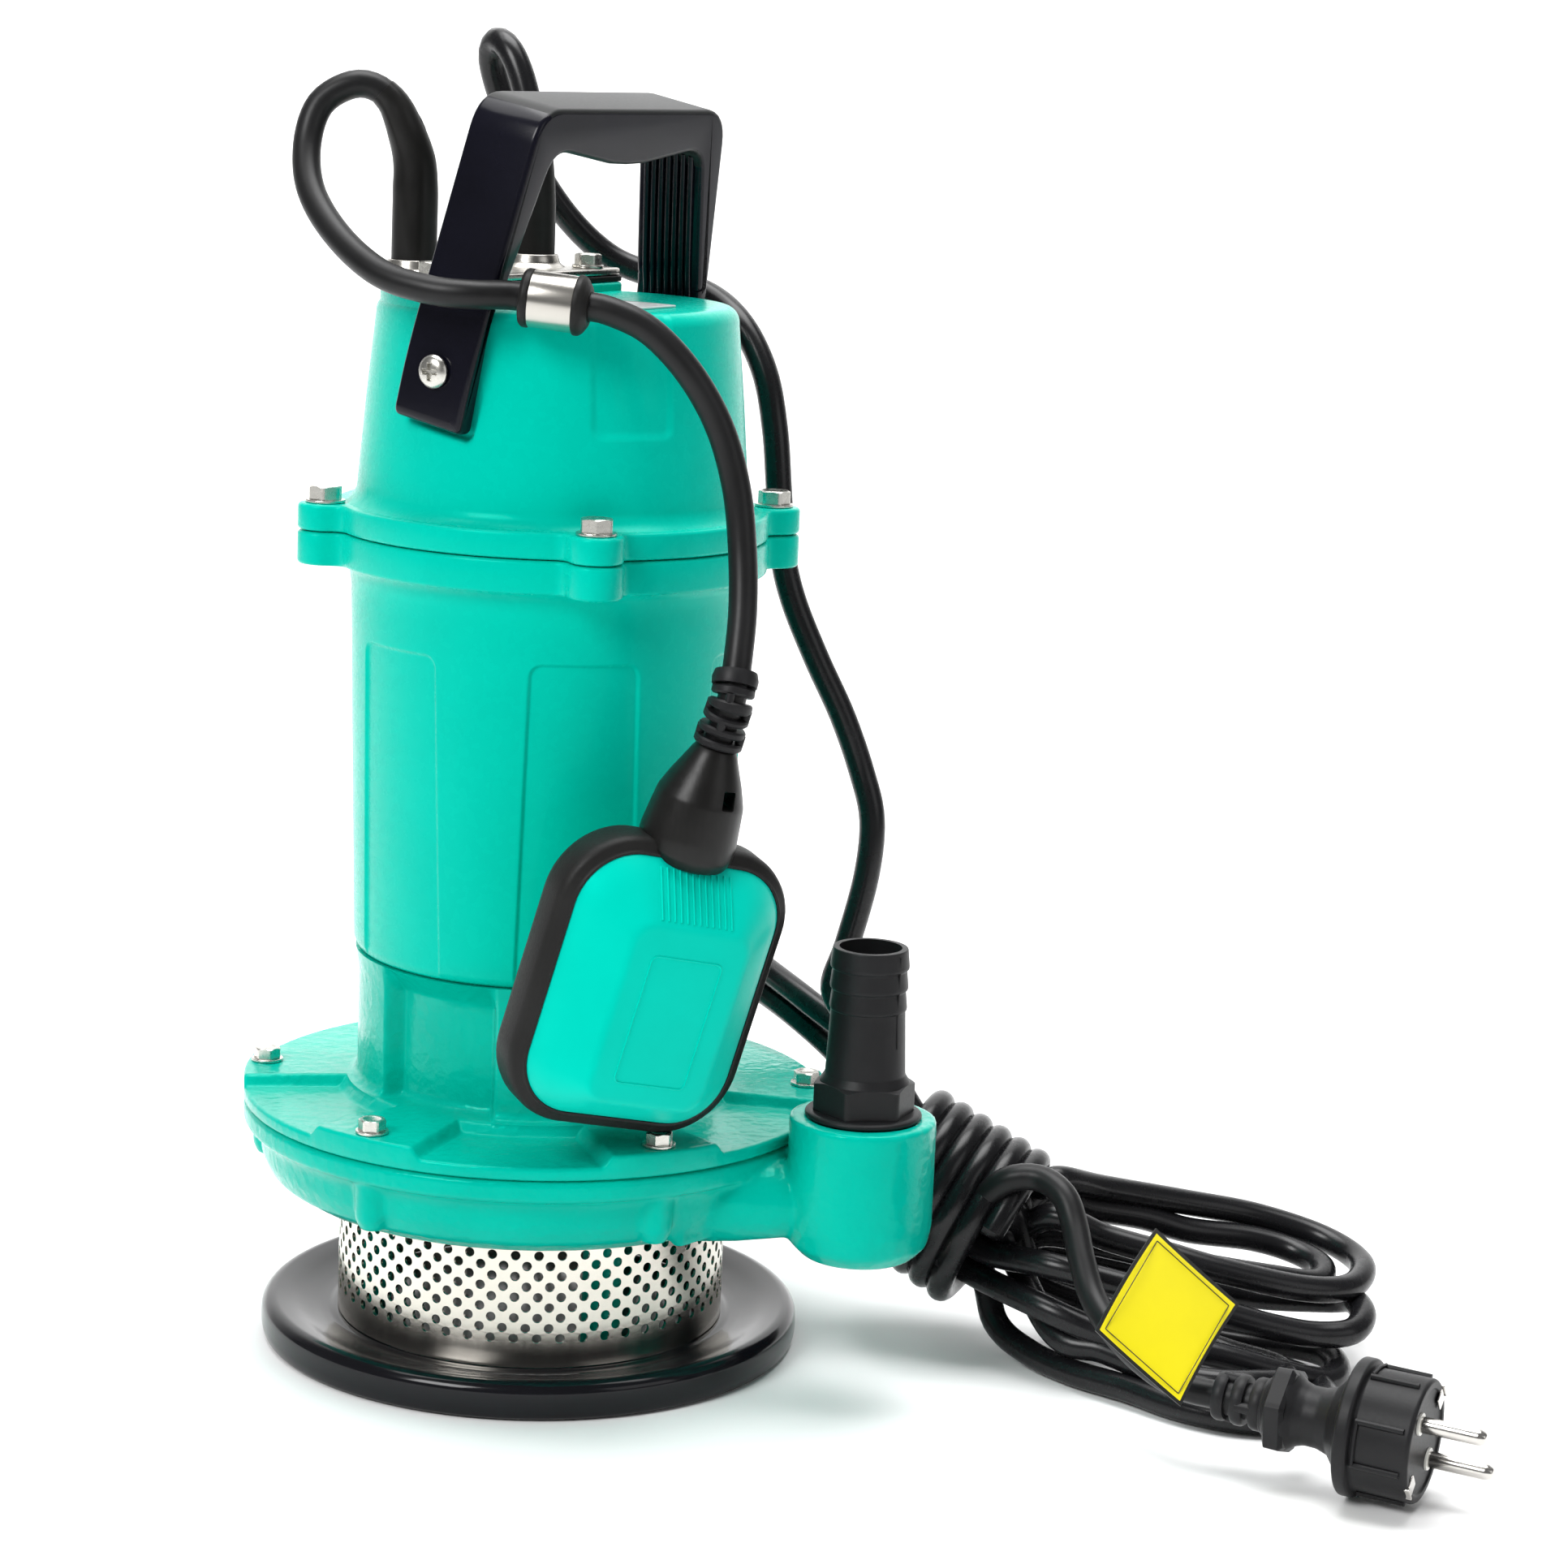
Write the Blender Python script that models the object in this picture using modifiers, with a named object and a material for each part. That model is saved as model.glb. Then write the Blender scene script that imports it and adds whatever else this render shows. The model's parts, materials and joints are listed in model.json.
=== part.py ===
"""A submersible sump pump with a float switch, modelled at its real size in metres, +Z up.

The origin is the centre of the base plate's underside. The front is -Y. The discharge duct
leaves along +X, and an azimuth is measured in degrees from the front towards +X. Lengths in
this file are millimetres, and the helpers turn them into metres.
"""

import math

import bmesh
import bpy
from mathutils import Matrix, Vector

MM = 0.001
GAP = 0.3  # clearance between two pieces that touch
ROUND = 30  # segments of a large turned piece
SMALL_ROUND = 14  # segments of a small turned piece
FASTENER_ROUND = 8
WASHER_THICKNESS = 0.9

# Turns a flat outline drawn as (along, up) so that it stands upright along -Y
UPRIGHT = Matrix(((0, 0, 1, 0), (1, 0, 0, 0), (0, 1, 0, 0), (0, 0, 0, 1)))

# Base and strainer
BASE_RADIUS = 85.0
BASE_RIM_HEIGHT = 12.0
BASE_FLOOR_HEIGHT = 8.2
SCREEN_RADIUS = 61.0
SCREEN_WALL = 1.0
POST_RADIUS = 6.0
POST_CIRCLE = 50.0
POST_AZIMUTHS = [30.0, 150.0, 270.0]
POST_SOCKET_DEPTH = 3.0

# Pump end
CASING_BOTTOM = 48.0
FLANGE_BOTTOM = 69.8
FLANGE_RADIUS = 91.5
CASING_TOP = 76.0
CHAMBER_FLOOR = 52.5
CHAMBER_RADIUS = 80.0
INLET_RADIUS = 21.0
COVER_TOP = 84.0
COVER_POCKET = 80.8
COVER_BOLT_CIRCLE = 84.8
COVER_BOLT_AZIMUTHS = [-30.0 + 60.0 * index for index in range(6)]

# Discharge
OUTLET_X = 102.5
OUTLET_Y = -49.3
OUTLET_RADIUS = 22.2
OUTLET_TOP = 89.0
OUTLET_BOTTOM = 44.0
OUTLET_THREAD_RADIUS = 16.2
DUCT_RADIUS = 11.5
DUCT_HEIGHT = 61.5
BARB_RADIUS = 12.1
BARB_BORE = 9.4
BARB_TOP = 141.3

# Motor
NECK_RADIUS = 50.0
NECK_COLUMN_RADIUS = 56.0
NECK_COLUMN_HALF_ANGLE = 24.0
NECK_TOP = 125.0
HOUSING_BOTTOM = 125.3
HOUSING_BORE = 52.0
JOINT_HEIGHT = 255.1
MID_FLANGE_RADIUS = 66.0
MID_FLANGE_BOTTOM = 245.0
LUG_CIRCLE = 69.4
LUG_RADIUS = 8.2
LUG_TOP = 263.4
LUG_AZIMUTHS = [15.0 + 90.0 * index for index in range(4)]
CAP_TOP = 325.6
CAP_TOP_RADIUS = 54.4

# Cable entry: a flat segment of the cap's top, on the side away from the handle's lean
HANDLE_AZIMUTH = -30.0
ENTRY_CHORD = 12.0
ENTRY_TOP = 328.3
ENTRY_PLATE_TOP = 332.6
SLEEVE_OFFSET = 31.5
SLEEVE_SPACING = 31.0
SLEEVE_RADIUS = 6.8
SLEEVE_TOP = 368.0
CABLE_RADIUS = 4.2

# Handle
HANDLE_SCREW_HEIGHT = 307.3
HANDLE_LEAN = 11.0
HANDLE_WIDTH = 24.0
HANDLE_PAD = 55.2  # distance of the flat under each arm from the pump's axis

# Rating plate, square to the handle on the side it leans to
RATING_PLATE_NEAR = 6.0
RATING_PLATE_FAR = 38.0
RATING_PLATE_LENGTH = 37.5

# Rotor
SHAFT_RADIUS = 7.5
BEARING_RADIUS = 17.5
BEARING_WIDTH = 11.0
LOWER_BEARING_BOTTOM = 98.0
UPPER_BEARING_BOTTOM = 236.0
CORE_BOTTOM = 150.0
CORE_TOP = 212.0
ROTOR_RADIUS = 27.0
IMPELLER_RADIUS = 66.0
IMPELLER_VANES = 6

# Float, in its own frame: across, along its length, and through its thickness
FLOAT_CENTRE = (36.1, -81.0, 135.8)
FLOAT_LENGTH_AXIS = (0.262, -0.03, 0.9645)
FLOAT_FACE_AZIMUTH = 30.5
FLOAT_HALF_WIDTH = 37.8
FLOAT_HALF_LENGTH = 44.6
FLOAT_HALF_DEPTH = 21.0
FLOAT_CORNER = 22.0
FLOAT_BAND_WALL = 4.0
FLOAT_BAND_HALF = 7.0
BALL_RADIUS = 6.0
BALL_REST = -24.2  # the ball lies on its cage's floor

# Float cable clamp: the float swings about the point where the cable leaves it
FERRULE_CENTRE = (3.6, -65.0, 329.6)
FERRULE_AXIS = (0.985, -0.10, -0.10)
FERRULE_RADIUS = 8.2
FLOAT_PIVOT = (18.0, -66.4, 328.0)

# Power cable coil and plug
COIL_CENTRE = (190.0, 8.0)
COIL_TURNS = 4
COIL_PITCH = 9.3
COIL_INNER = (42.0, 24.0)
PLUG_FLANGE_CENTRE = (248.5, -111.0, 20.8)
PLUG_AXIS = (0.906, -0.422, -0.026)


def collection(name):
    """A new collection in the scene."""
    made = bpy.data.collections.new(name)
    bpy.context.scene.collection.children.link(made)
    return made


for old in list(bpy.data.objects):
    bpy.data.objects.remove(old, do_unlink=True)
PARTS = collection("submersible_sump_pump")
CUTTERS = collection("cutters")


def material(name, colour, roughness, metallic=0.0):
    """A Principled material of one linear colour."""
    made = bpy.data.materials.new(name)
    made.use_nodes = True
    shader = made.node_tree.nodes["Principled BSDF"]
    shader.inputs["Base Color"].default_value = (*colour, 1.0)
    shader.inputs["Roughness"].default_value = roughness
    shader.inputs["Metallic"].default_value = metallic
    return made


GREEN = material("green_enamel", (0.0, 0.45, 0.30), 0.3)
BLACK_ENAMEL = material("black_enamel", (0.006, 0.006, 0.007), 0.15)
BLACK_PLASTIC = material("black_plastic", (0.01, 0.01, 0.012), 0.35)
RUBBER = material("black_rubber", (0.015, 0.015, 0.015), 0.6)
STAINLESS = material("stainless_steel", (0.55, 0.52, 0.47), 0.3, 1.0)
STEEL = material("zinc_plated_steel", (0.6, 0.6, 0.58), 0.35, 1.0)
LAMINATION = material("electrical_steel", (0.3, 0.3, 0.32), 0.45, 1.0)
COPPER = material("copper_winding", (0.72, 0.3, 0.13), 0.4, 1.0)
CERAMIC = material("seal_ceramic", (0.75, 0.75, 0.72), 0.3)
LABEL = material("blank_label", (0.7, 0.72, 0.72), 0.4)
YELLOW = material("yellow_tag", (0.9, 0.72, 0.0), 0.4)


def polar(radius, azimuth, height=0.0):
    """A point at a radius and height, at an azimuth in degrees from the front towards +X."""
    angle = math.radians(azimuth)
    return Vector((radius * math.sin(angle), -radius * math.cos(angle), height))


def frame_at(point, z_axis):
    """A matrix, in metres, whose origin is the point and whose Z is z_axis."""
    z_axis = Vector(z_axis).normalized()
    hint = Vector((0.0, 0.0, 1.0)) if abs(z_axis.z) < 0.7 else Vector((1.0, 0.0, 0.0))
    y_axis = z_axis.cross(hint).normalized()
    x_axis = y_axis.cross(z_axis)
    turn = Matrix((x_axis, y_axis, z_axis)).transposed().to_4x4()
    return Matrix.Translation(Vector(point) * MM) @ turn


def add(name, mesh, finish, place=None, smooth=True):
    """A node, or a cutter when it has no finish."""
    made = bpy.data.objects.new(name, mesh)
    if finish is None:
        CUTTERS.objects.link(made)
        made.hide_render = True
        made.display_type = "WIRE"
    else:
        PARTS.objects.link(made)
        mesh.materials.append(finish)
    if place is not None:
        made.matrix_world = place
    if smooth and mesh.polygons:
        mesh.shade_smooth()
        mesh.set_sharp_from_angle(angle=math.radians(35))
    return made


def turned(name, profile, finish, place=None, segments=ROUND):
    """A turned piece from (radius, height) points: down its outer side, then up its inner side."""
    mesh = bpy.data.meshes.new(name)
    points = [(radius * MM, 0.0, height * MM) for radius, height in profile]
    count = len(points)
    closed = min(radius for radius, _ in profile) > 0
    edges = [(index, (index + 1) % count) for index in range(count if closed else count - 1)]
    mesh.from_pydata(points, edges, [])
    made = add(name, mesh, finish, place)
    screw = made.modifiers.new("turn", "SCREW")
    screw.axis = "Z"
    screw.steps = segments
    screw.render_steps = segments
    screw.use_merge_vertices = True
    screw.merge_threshold = 0.00001
    return made


def rod(name, radius, bottom, top, finish, place=None, segments=SMALL_ROUND):
    """A cylinder along its own Z."""
    profile = [(0.0, top), (radius, top), (radius, bottom), (0.0, bottom)]
    return turned(name, profile, finish, place, segments)


def tube(name, inner, outer, bottom, top, finish, place=None, segments=SMALL_ROUND):
    """A ring along its own Z."""
    profile = [(outer, top), (outer, bottom), (inner, bottom), (inner, top)]
    return turned(name, profile, finish, place, segments)


def box(name, low, high, finish, place=None):
    """A box between two corners."""
    shape = bmesh.new()
    bmesh.ops.create_cube(shape, size=1.0)
    low, high = Vector(low), Vector(high)
    middle = (low + high) / 2
    for vert in shape.verts:
        vert.co = Vector([(vert.co[axis] * (high - low)[axis] + middle[axis]) * MM for axis in range(3)])
    mesh = bpy.data.meshes.new(name)
    shape.to_mesh(mesh)
    shape.free()
    return add(name, mesh, finish, place, smooth=False)


def evaluated_mesh(source, name):
    """The mesh that a curve makes, its loose caps welded and made whole. The curve is removed."""
    bpy.context.view_layer.update()
    graph = bpy.context.evaluated_depsgraph_get()
    mesh = bpy.data.meshes.new_from_object(source.evaluated_get(graph))
    mesh.name = name
    shape = bmesh.new()
    shape.from_mesh(mesh)
    bmesh.ops.remove_doubles(shape, verts=shape.verts, dist=0.00001)
    bmesh.ops.dissolve_limit(shape, angle_limit=math.radians(0.5), verts=shape.verts,
                             edges=shape.edges)
    shape.to_mesh(mesh)
    shape.free()
    mesh.materials.clear()
    bpy.data.objects.remove(source, do_unlink=True)
    return mesh


def outline(name, points, bottom, top, finish, place=None):
    """A flat outline of (x, y) points, extruded between two heights."""
    data = bpy.data.curves.new(name, "CURVE")
    data.dimensions = "2D"
    data.fill_mode = "BOTH"
    data.extrude = (top - bottom) / 2 * MM
    spline = data.splines.new("POLY")
    spline.points.add(len(points) - 1)
    for target, (x, y) in zip(spline.points, points):
        target.co = (x * MM, y * MM, 0.0, 1.0)
    spline.use_cyclic_u = True
    source = bpy.data.objects.new(name, data)
    CUTTERS.objects.link(source)
    mesh = evaluated_mesh(source, name)
    mesh.transform(Matrix.Translation((0.0, 0.0, (top + bottom) / 2 * MM)))
    return add(name, mesh, finish, place)


def cord(name, points, radius, finish):
    """A round cord through points in millimetres."""
    data = bpy.data.curves.new(name, "CURVE")
    data.dimensions = "3D"
    data.bevel_depth = radius * MM
    data.bevel_resolution = 2
    data.use_fill_caps = True
    spline = data.splines.new("POLY")
    spline.points.add(len(points) - 1)
    for target, point in zip(spline.points, points):
        target.co = (point[0] * MM, point[1] * MM, point[2] * MM, 1.0)
    made = bpy.data.objects.new(name, data)
    data.materials.append(finish)
    PARTS.objects.link(made)
    return made


def boolean(target, tools, operation):
    """Joins the tools to a node, or cuts it with them."""
    for tool in tools:
        modifier = target.modifiers.new(tool.name, "BOOLEAN")
        modifier.operation = operation
        modifier.object = tool
    return target


def join(target, *tools):
    """The target with every tool united to it."""
    return boolean(target, tools, "UNION")


def cut(target, *tools):
    """The target with every tool taken away."""
    return boolean(target, tools, "DIFFERENCE")


def rounded_box(half_x, half_y, corner, per_corner=5):
    """The points of a rounded rectangle about the origin, anticlockwise."""
    points = []
    for index in range(4):
        sign_x = (1, -1, -1, 1)[index]
        sign_y = (1, 1, -1, -1)[index]
        for step in range(per_corner):
            angle = math.radians(90 * index + 90 * step / (per_corner - 1))
            x = sign_x * (half_x - corner) + corner * math.cos(angle)
            y = sign_y * (half_y - corner) + corner * math.sin(angle)
            points.append((x, y))
    return points


def lofted(name, sections, finish, place=None):
    """A solid through sections (height, points), from the lowest up, each with equal counts."""
    shape = bmesh.new()
    rings = []
    for height, points in sections:
        rings.append([shape.verts.new((x * MM, y * MM, height * MM)) for x, y in points])
    count = len(rings[0])
    shape.faces.new(list(reversed(rings[0])))
    shape.faces.new(rings[-1])
    for low, high in zip(rings, rings[1:]):
        for index in range(count):
            after = (index + 1) % count
            shape.faces.new((low[index], low[after], high[after], high[index]))
    mesh = bpy.data.meshes.new(name)
    shape.to_mesh(mesh)
    shape.free()
    return add(name, mesh, finish, place)


def through(points, spacing):
    """Points at about one spacing along a smooth Catmull-Rom curve through the given points."""
    points = [Vector(point) for point in points]
    padded = [points[0] * 2 - points[1], *points, points[-1] * 2 - points[-2]]
    path = []
    for before, start, end, after in zip(padded, padded[1:], padded[2:], padded[3:]):
        steps = max(1, round((end - start).length / spacing))
        for step in range(steps):
            t = step / steps
            bend = (before * 2 - start * 5 + end * 4 - after) * t * t
            twist = (start * 3 - before - end * 3 + after) * t**3
            path.append((start * 2 + (end - before) * t + bend + twist) / 2)
    path.append(points[-1])
    return path


def strainer_and_base():
    """The dished base plate and the perforated strainer, here without its holes."""
    base = turned("base_plate", [
        (0.0, BASE_FLOOR_HEIGHT), (66.0, BASE_FLOOR_HEIGHT), (75.0, 10.0),
        (79.5, BASE_RIM_HEIGHT), (82.0, BASE_RIM_HEIGHT - 0.5), (84.4, BASE_RIM_HEIGHT - 3.0),
        (BASE_RADIUS, BASE_RIM_HEIGHT - 6.0), (84.6, 2.5), (82.0, 0.0), (0.0, 0.0),
    ], BLACK_ENAMEL)
    for index, azimuth in enumerate(POST_AZIMUTHS):
        place = frame_at(polar(POST_CIRCLE, azimuth), (0, 0, 1))
        socket_bottom = BASE_FLOOR_HEIGHT - POST_SOCKET_DEPTH - GAP
        cut(base, rod(f"post_socket_{index + 1}", POST_RADIUS + GAP, socket_bottom,
                      BASE_FLOOR_HEIGHT + 1, None, place, FASTENER_ROUND))
    tube("strainer_screen", SCREEN_RADIUS - SCREEN_WALL, SCREEN_RADIUS,
         BASE_FLOOR_HEIGHT + GAP, CASING_BOTTOM - GAP, STAINLESS, segments=ROUND)


def volute_casing():
    """The volute with its flange, posts, bolt bosses, tangential duct and upright outlet."""
    casing = turned("volute_casing", [
        (0.0, CASING_TOP), (FLANGE_RADIUS, CASING_TOP), (FLANGE_RADIUS, FLANGE_BOTTOM),
        (88.0, 68.6), (86.0, 66.0), (85.2, 60.0), (82.6, 54.5), (76.0, 50.4),
        (66.0, CASING_BOTTOM), (0.0, CASING_BOTTOM),
    ], GREEN)
    posts = []
    for index, azimuth in enumerate(POST_AZIMUTHS):
        place = frame_at(polar(POST_CIRCLE, azimuth), (0, 0, 1))
        post_bottom = BASE_FLOOR_HEIGHT - POST_SOCKET_DEPTH
        posts.append(rod(f"casing_post_{index + 1}", POST_RADIUS, post_bottom,
                         CASING_BOTTOM + 1, None, place, FASTENER_ROUND))
    bosses = []
    holes = []
    for index, azimuth in enumerate(COVER_BOLT_AZIMUTHS):
        place = frame_at(polar(COVER_BOLT_CIRCLE, azimuth), (0, 0, 1))
        bosses.append(rod(f"casing_boss_{index + 1}", 5.6, 53.0, FLANGE_BOTTOM + 1, None,
                          place, FASTENER_ROUND))
        holes.append(rod(f"casing_bolt_hole_{index + 1}", 2.4, 57.0, CASING_TOP + 1, None,
                         place, FASTENER_ROUND))
    outlet = frame_at((OUTLET_X, OUTLET_Y, 0.0), (0, 0, 1))
    outlet_boss = turned("outlet_boss", [
        (0.0, OUTLET_TOP), (OUTLET_RADIUS - 1.0, OUTLET_TOP), (OUTLET_RADIUS, OUTLET_TOP - 1.0),
        (OUTLET_RADIUS, 54.0), (OUTLET_RADIUS - 1.6, 49.0), (OUTLET_RADIUS - 6.0, 45.4),
        (OUTLET_RADIUS - 12.0, OUTLET_BOTTOM), (0.0, OUTLET_BOTTOM),
    ], None, outlet, 22)
    duct_wall = rod("duct_wall", DUCT_RADIUS, 0.0, OUTLET_X - 62.0, None,
                    frame_at((60.0, OUTLET_Y, DUCT_HEIGHT), (1, 0, 0)))
    passage = rod("duct_passage", DUCT_RADIUS - 3.5, 0.0, OUTLET_X - 52.0, None,
                  frame_at((55.0, OUTLET_Y, DUCT_HEIGHT), (1, 0, 0)))
    thread = turned("outlet_thread", [
        (0.0, OUTLET_TOP + 1), (OUTLET_THREAD_RADIUS, OUTLET_TOP + 1),
        (OUTLET_THREAD_RADIUS, 70.5), (13.0, 70.5), (13.0, 52.6), (0.0, 52.6),
    ], None, outlet, 16)
    chamber = turned("pump_chamber", [
        (0.0, CASING_TOP + 1), (CHAMBER_RADIUS, CASING_TOP + 1), (CHAMBER_RADIUS, 61.0),
        (78.0, 56.0), (72.0, CHAMBER_FLOOR), (INLET_RADIUS, CHAMBER_FLOOR),
        (INLET_RADIUS, CASING_BOTTOM - 1), (0.0, CASING_BOTTOM - 1),
    ], None)
    join(casing, *posts, *bosses, duct_wall, outlet_boss)
    cut(casing, chamber, thread, passage, *holes)


def pump_cover():
    """The cover disc with its ribs, the recessed neck above it and the bearing hub."""
    cover = turned("pump_cover", [
        (NECK_RADIUS, NECK_TOP), (NECK_RADIUS, 92.0), (53.0, COVER_TOP), (54.0, COVER_POCKET),
        (FLANGE_RADIUS, COVER_POCKET), (FLANGE_RADIUS, CASING_TOP + GAP),
        (76.0, CASING_TOP + GAP), (76.0, 72.4), (14.3, 72.4),
        (14.3, 91.0), (9.0, 91.0), (9.0, LOWER_BEARING_BOTTOM - GAP),
        (BEARING_RADIUS + GAP, LOWER_BEARING_BOTTOM - GAP), (BEARING_RADIUS + GAP, 110.0),
        (23.0, 110.0), (24.0, 86.0), (44.5, 86.0), (44.5, NECK_TOP),
    ], GREEN)
    ribs = []
    holes = []
    for index, azimuth in enumerate(COVER_BOLT_AZIMUTHS):
        place = Matrix.Rotation(math.radians(azimuth), 4, "Z")
        ribs.append(box(f"cover_rib_{index + 1}", (-11.0, -90.6, 77.0), (11.0, -48.0, COVER_TOP),
                        None, place))
        at_bolt = frame_at(polar(COVER_BOLT_CIRCLE, azimuth), (0, 0, 1))
        holes.append(rod(f"cover_bolt_hole_{index + 1}", 2.4, 70.0, COVER_TOP + 2, None,
                         at_bolt, FASTENER_ROUND))
    columns = []
    for index, azimuth in enumerate(LUG_AZIMUTHS):
        arc = [azimuth + NECK_COLUMN_HALF_ANGLE * (step / 2 - 1) for step in range(5)]
        points = [polar(NECK_COLUMN_RADIUS, angle) for angle in arc]
        points += [polar(47.0, angle) for angle in reversed(arc)]
        columns.append(outline(f"neck_column_{index + 1}", [(point.x, point.y) for point in points],
                               82.0, NECK_TOP - GAP, None))
    join(cover, *ribs, *columns)
    cut(cover, *holes)


def lugs(name, bottom, top):
    """The four bolt lugs of a mid flange and the holes through them."""
    made = []
    holes = []
    for index, azimuth in enumerate(LUG_AZIMUTHS):
        place = frame_at(polar(LUG_CIRCLE, azimuth), (0, 0, 1))
        made.append(rod(f"{name}_lug_{index + 1}", LUG_RADIUS, bottom, top, None, place,
                        SMALL_ROUND))
        holes.append(rod(f"{name}_lug_hole_{index + 1}", 2.9, bottom - 1, top + 1, None, place,
                         FASTENER_ROUND))
    return made, holes


def motor_housing():
    """The motor tube with its lower edge drawn in and its flange with a seal groove."""
    housing = turned("motor_housing", [
        (MID_FLANGE_RADIUS, JOINT_HEIGHT), (MID_FLANGE_RADIUS, MID_FLANGE_BOTTOM + 1.5),
        (64.5, MID_FLANGE_BOTTOM), (60.7, MID_FLANGE_BOTTOM - 0.6), (59.5, 192.0),
        (57.8, 130.0), (56.0, HOUSING_BOTTOM), (HOUSING_BORE, HOUSING_BOTTOM),
        (HOUSING_BORE, JOINT_HEIGHT), (58.3, JOINT_HEIGHT), (58.3, JOINT_HEIGHT - 3.3),
        (61.7, JOINT_HEIGHT - 3.3), (61.7, JOINT_HEIGHT),
    ], GREEN)
    bosses, holes = lugs("housing", MID_FLANGE_BOTTOM, JOINT_HEIGHT)
    join(housing, *bosses)
    cut(housing, *holes)


def entry_segment(radius, chord):
    """The cable entry's outline: a circle cut by a chord that runs along the handle."""
    half = math.degrees(math.acos(chord / radius))
    middle = HANDLE_AZIMUTH - 90.0
    points = [polar(radius, middle - half + 2 * half * step / 12) for step in range(13)]
    return [(point.x, point.y) for point in points]


def sleeve_spots():
    """Where the float's cable and the power cable leave the cap."""
    along = polar(1.0, HANDLE_AZIMUTH)
    aside = polar(1.0, HANDLE_AZIMUTH - 90.0)
    return [aside * SLEEVE_OFFSET + along * SLEEVE_SPACING * side for side in (1, -1)]


def plate_bolt_spots():
    """The two screws of the cable clamp plate, at its ends by the chord."""
    along = polar(1.0, HANDLE_AZIMUTH)
    aside = polar(1.0, HANDLE_AZIMUTH - 90.0)
    return [aside * 17.5 + along * 41.0 * side for side in (1, -1)]


def top_cap():
    """The cap over the motor, with handle flats, lugs and the raised cable entry."""
    cap = turned("top_cap", [
        (0.0, CAP_TOP), (48.0, CAP_TOP), (51.5, CAP_TOP - 0.8), (53.6, CAP_TOP - 2.6),
        (CAP_TOP_RADIUS, CAP_TOP - 5.5), (57.1, 297.0), (59.4, 265.0), (62.0, LUG_TOP),
        (65.0, LUG_TOP), (MID_FLANGE_RADIUS, LUG_TOP - 1.0),
        (MID_FLANGE_RADIUS, JOINT_HEIGHT + GAP), (55.0, JOINT_HEIGHT + GAP), (55.0, 266.0),
        (52.8, 297.0), (50.0, 320.0), (46.0, 321.6), (0.0, 321.6),
    ], GREEN)
    bosses, holes = lugs("cap", JOINT_HEIGHT + GAP, LUG_TOP)
    entry = outline("cable_entry", entry_segment(54.0, ENTRY_CHORD - 1.0), 322.5, ENTRY_TOP, None)
    bores = [rod(f"cable_bore_{index + 1}", 5.2, 318.0, ENTRY_TOP + 2, None,
                 frame_at(spot, (0, 0, 1)), FASTENER_ROUND)
             for index, spot in enumerate(sleeve_spots())]
    taps = [rod(f"plate_tap_{index + 1}", 2.2, 318.0, ENTRY_TOP + 2, None,
                frame_at(spot, (0, 0, 1)), FASTENER_ROUND)
            for index, spot in enumerate(plate_bolt_spots())]
    flats = []
    for name, turn in (("front", 0.0), ("back", 180.0)):
        place = handle_frame(turn)
        flats.append(box(f"handle_flat_{name}", (-HANDLE_WIDTH / 2 - 1, -70.0, -19.0),
                         (HANDLE_WIDTH / 2 + 1, -HANDLE_PAD, 40.0), None, place))
        holes.append(rod(f"handle_tap_{name}", 2.6, 44.0, 70.0, None,
                         place @ Matrix.Rotation(math.radians(90), 4, "X"), FASTENER_ROUND))
    join(cap, *bosses, entry)
    cut(cap, *flats, *holes, *bores, *taps)


def handle_frame(turn=0.0):
    """The handle's frame: -Y through the front screw, +Z up its lean, at the screws' height."""
    azimuth = math.radians(HANDLE_AZIMUTH + turn)
    lean = math.radians(HANDLE_LEAN if turn == 0.0 else -HANDLE_LEAN)
    up = Matrix.Translation((0.0, 0.0, HANDLE_SCREW_HEIGHT * MM))
    return up @ Matrix.Rotation(azimuth, 4, "Z") @ Matrix.Rotation(lean, 4, "Y")


def carry_handle():
    """The leaning handle: two arms and a bar whose underside is crowned for the palm."""
    outer = [(62.6, -16.0), (61.8, 4.0), (50.6, 69.6), (48.2, 75.0), (43.4, 78.6), (36.0, 79.6)]
    inner = [(22.0, 64.6), (33.0, 66.4), (38.6, 63.9), (41.6, 57.4), (51.5, 26.0),
             (HANDLE_PAD + GAP, 17.0), (HANDLE_PAD + GAP, -16.0)]
    hump = [(-8.0, 63.0), (8.0, 63.0)]
    left = [(-x, z) for x, z in reversed(outer)] + [(-x, z) for x, z in reversed(inner)]
    points = left + hump + inner + outer
    half = HANDLE_WIDTH / 2
    handle = outline("carry_handle", points, -half, half, BLACK_PLASTIC, handle_frame() @ UPRIGHT)
    for name, turn in (("front", 0.0), ("back", 180.0)):
        place = handle_frame(turn) @ Matrix.Rotation(math.radians(90), 4, "X")
        cut(handle, rod(f"handle_hole_{name}", 2.6, 50.0, 70.0, None, place, FASTENER_ROUND))
        turned(f"handle_screw_{name}", [
            (0.0, 65.2), (2.4, 65.0), (4.2, 64.0), (4.9, 62.4 + GAP), (2.3, 62.4 + GAP),
            (2.3, 46.0), (0.0, 46.0),
        ], STEEL, place, FASTENER_ROUND)


def hex_bolt(name, spot, seat, thread_radius, length):
    """A hexagon bolt with its washer: one solid, standing on a seat at a height."""
    place = frame_at((spot.x, spot.y, seat + GAP), (0, 0, 1))
    washer_radius = thread_radius * 2.2
    bolt = turned(name, [
        (0.0, WASHER_THICKNESS), (washer_radius, WASHER_THICKNESS), (washer_radius, 0.0),
        (thread_radius, 0.0), (thread_radius, -length), (0.0, -length),
    ], STEEL, place, FASTENER_ROUND)
    head_top = WASHER_THICKNESS + thread_radius * 1.45
    join(bolt, rod(f"{name}_head", thread_radius * 1.85, 0.4, head_top, None, place, 6))


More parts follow.
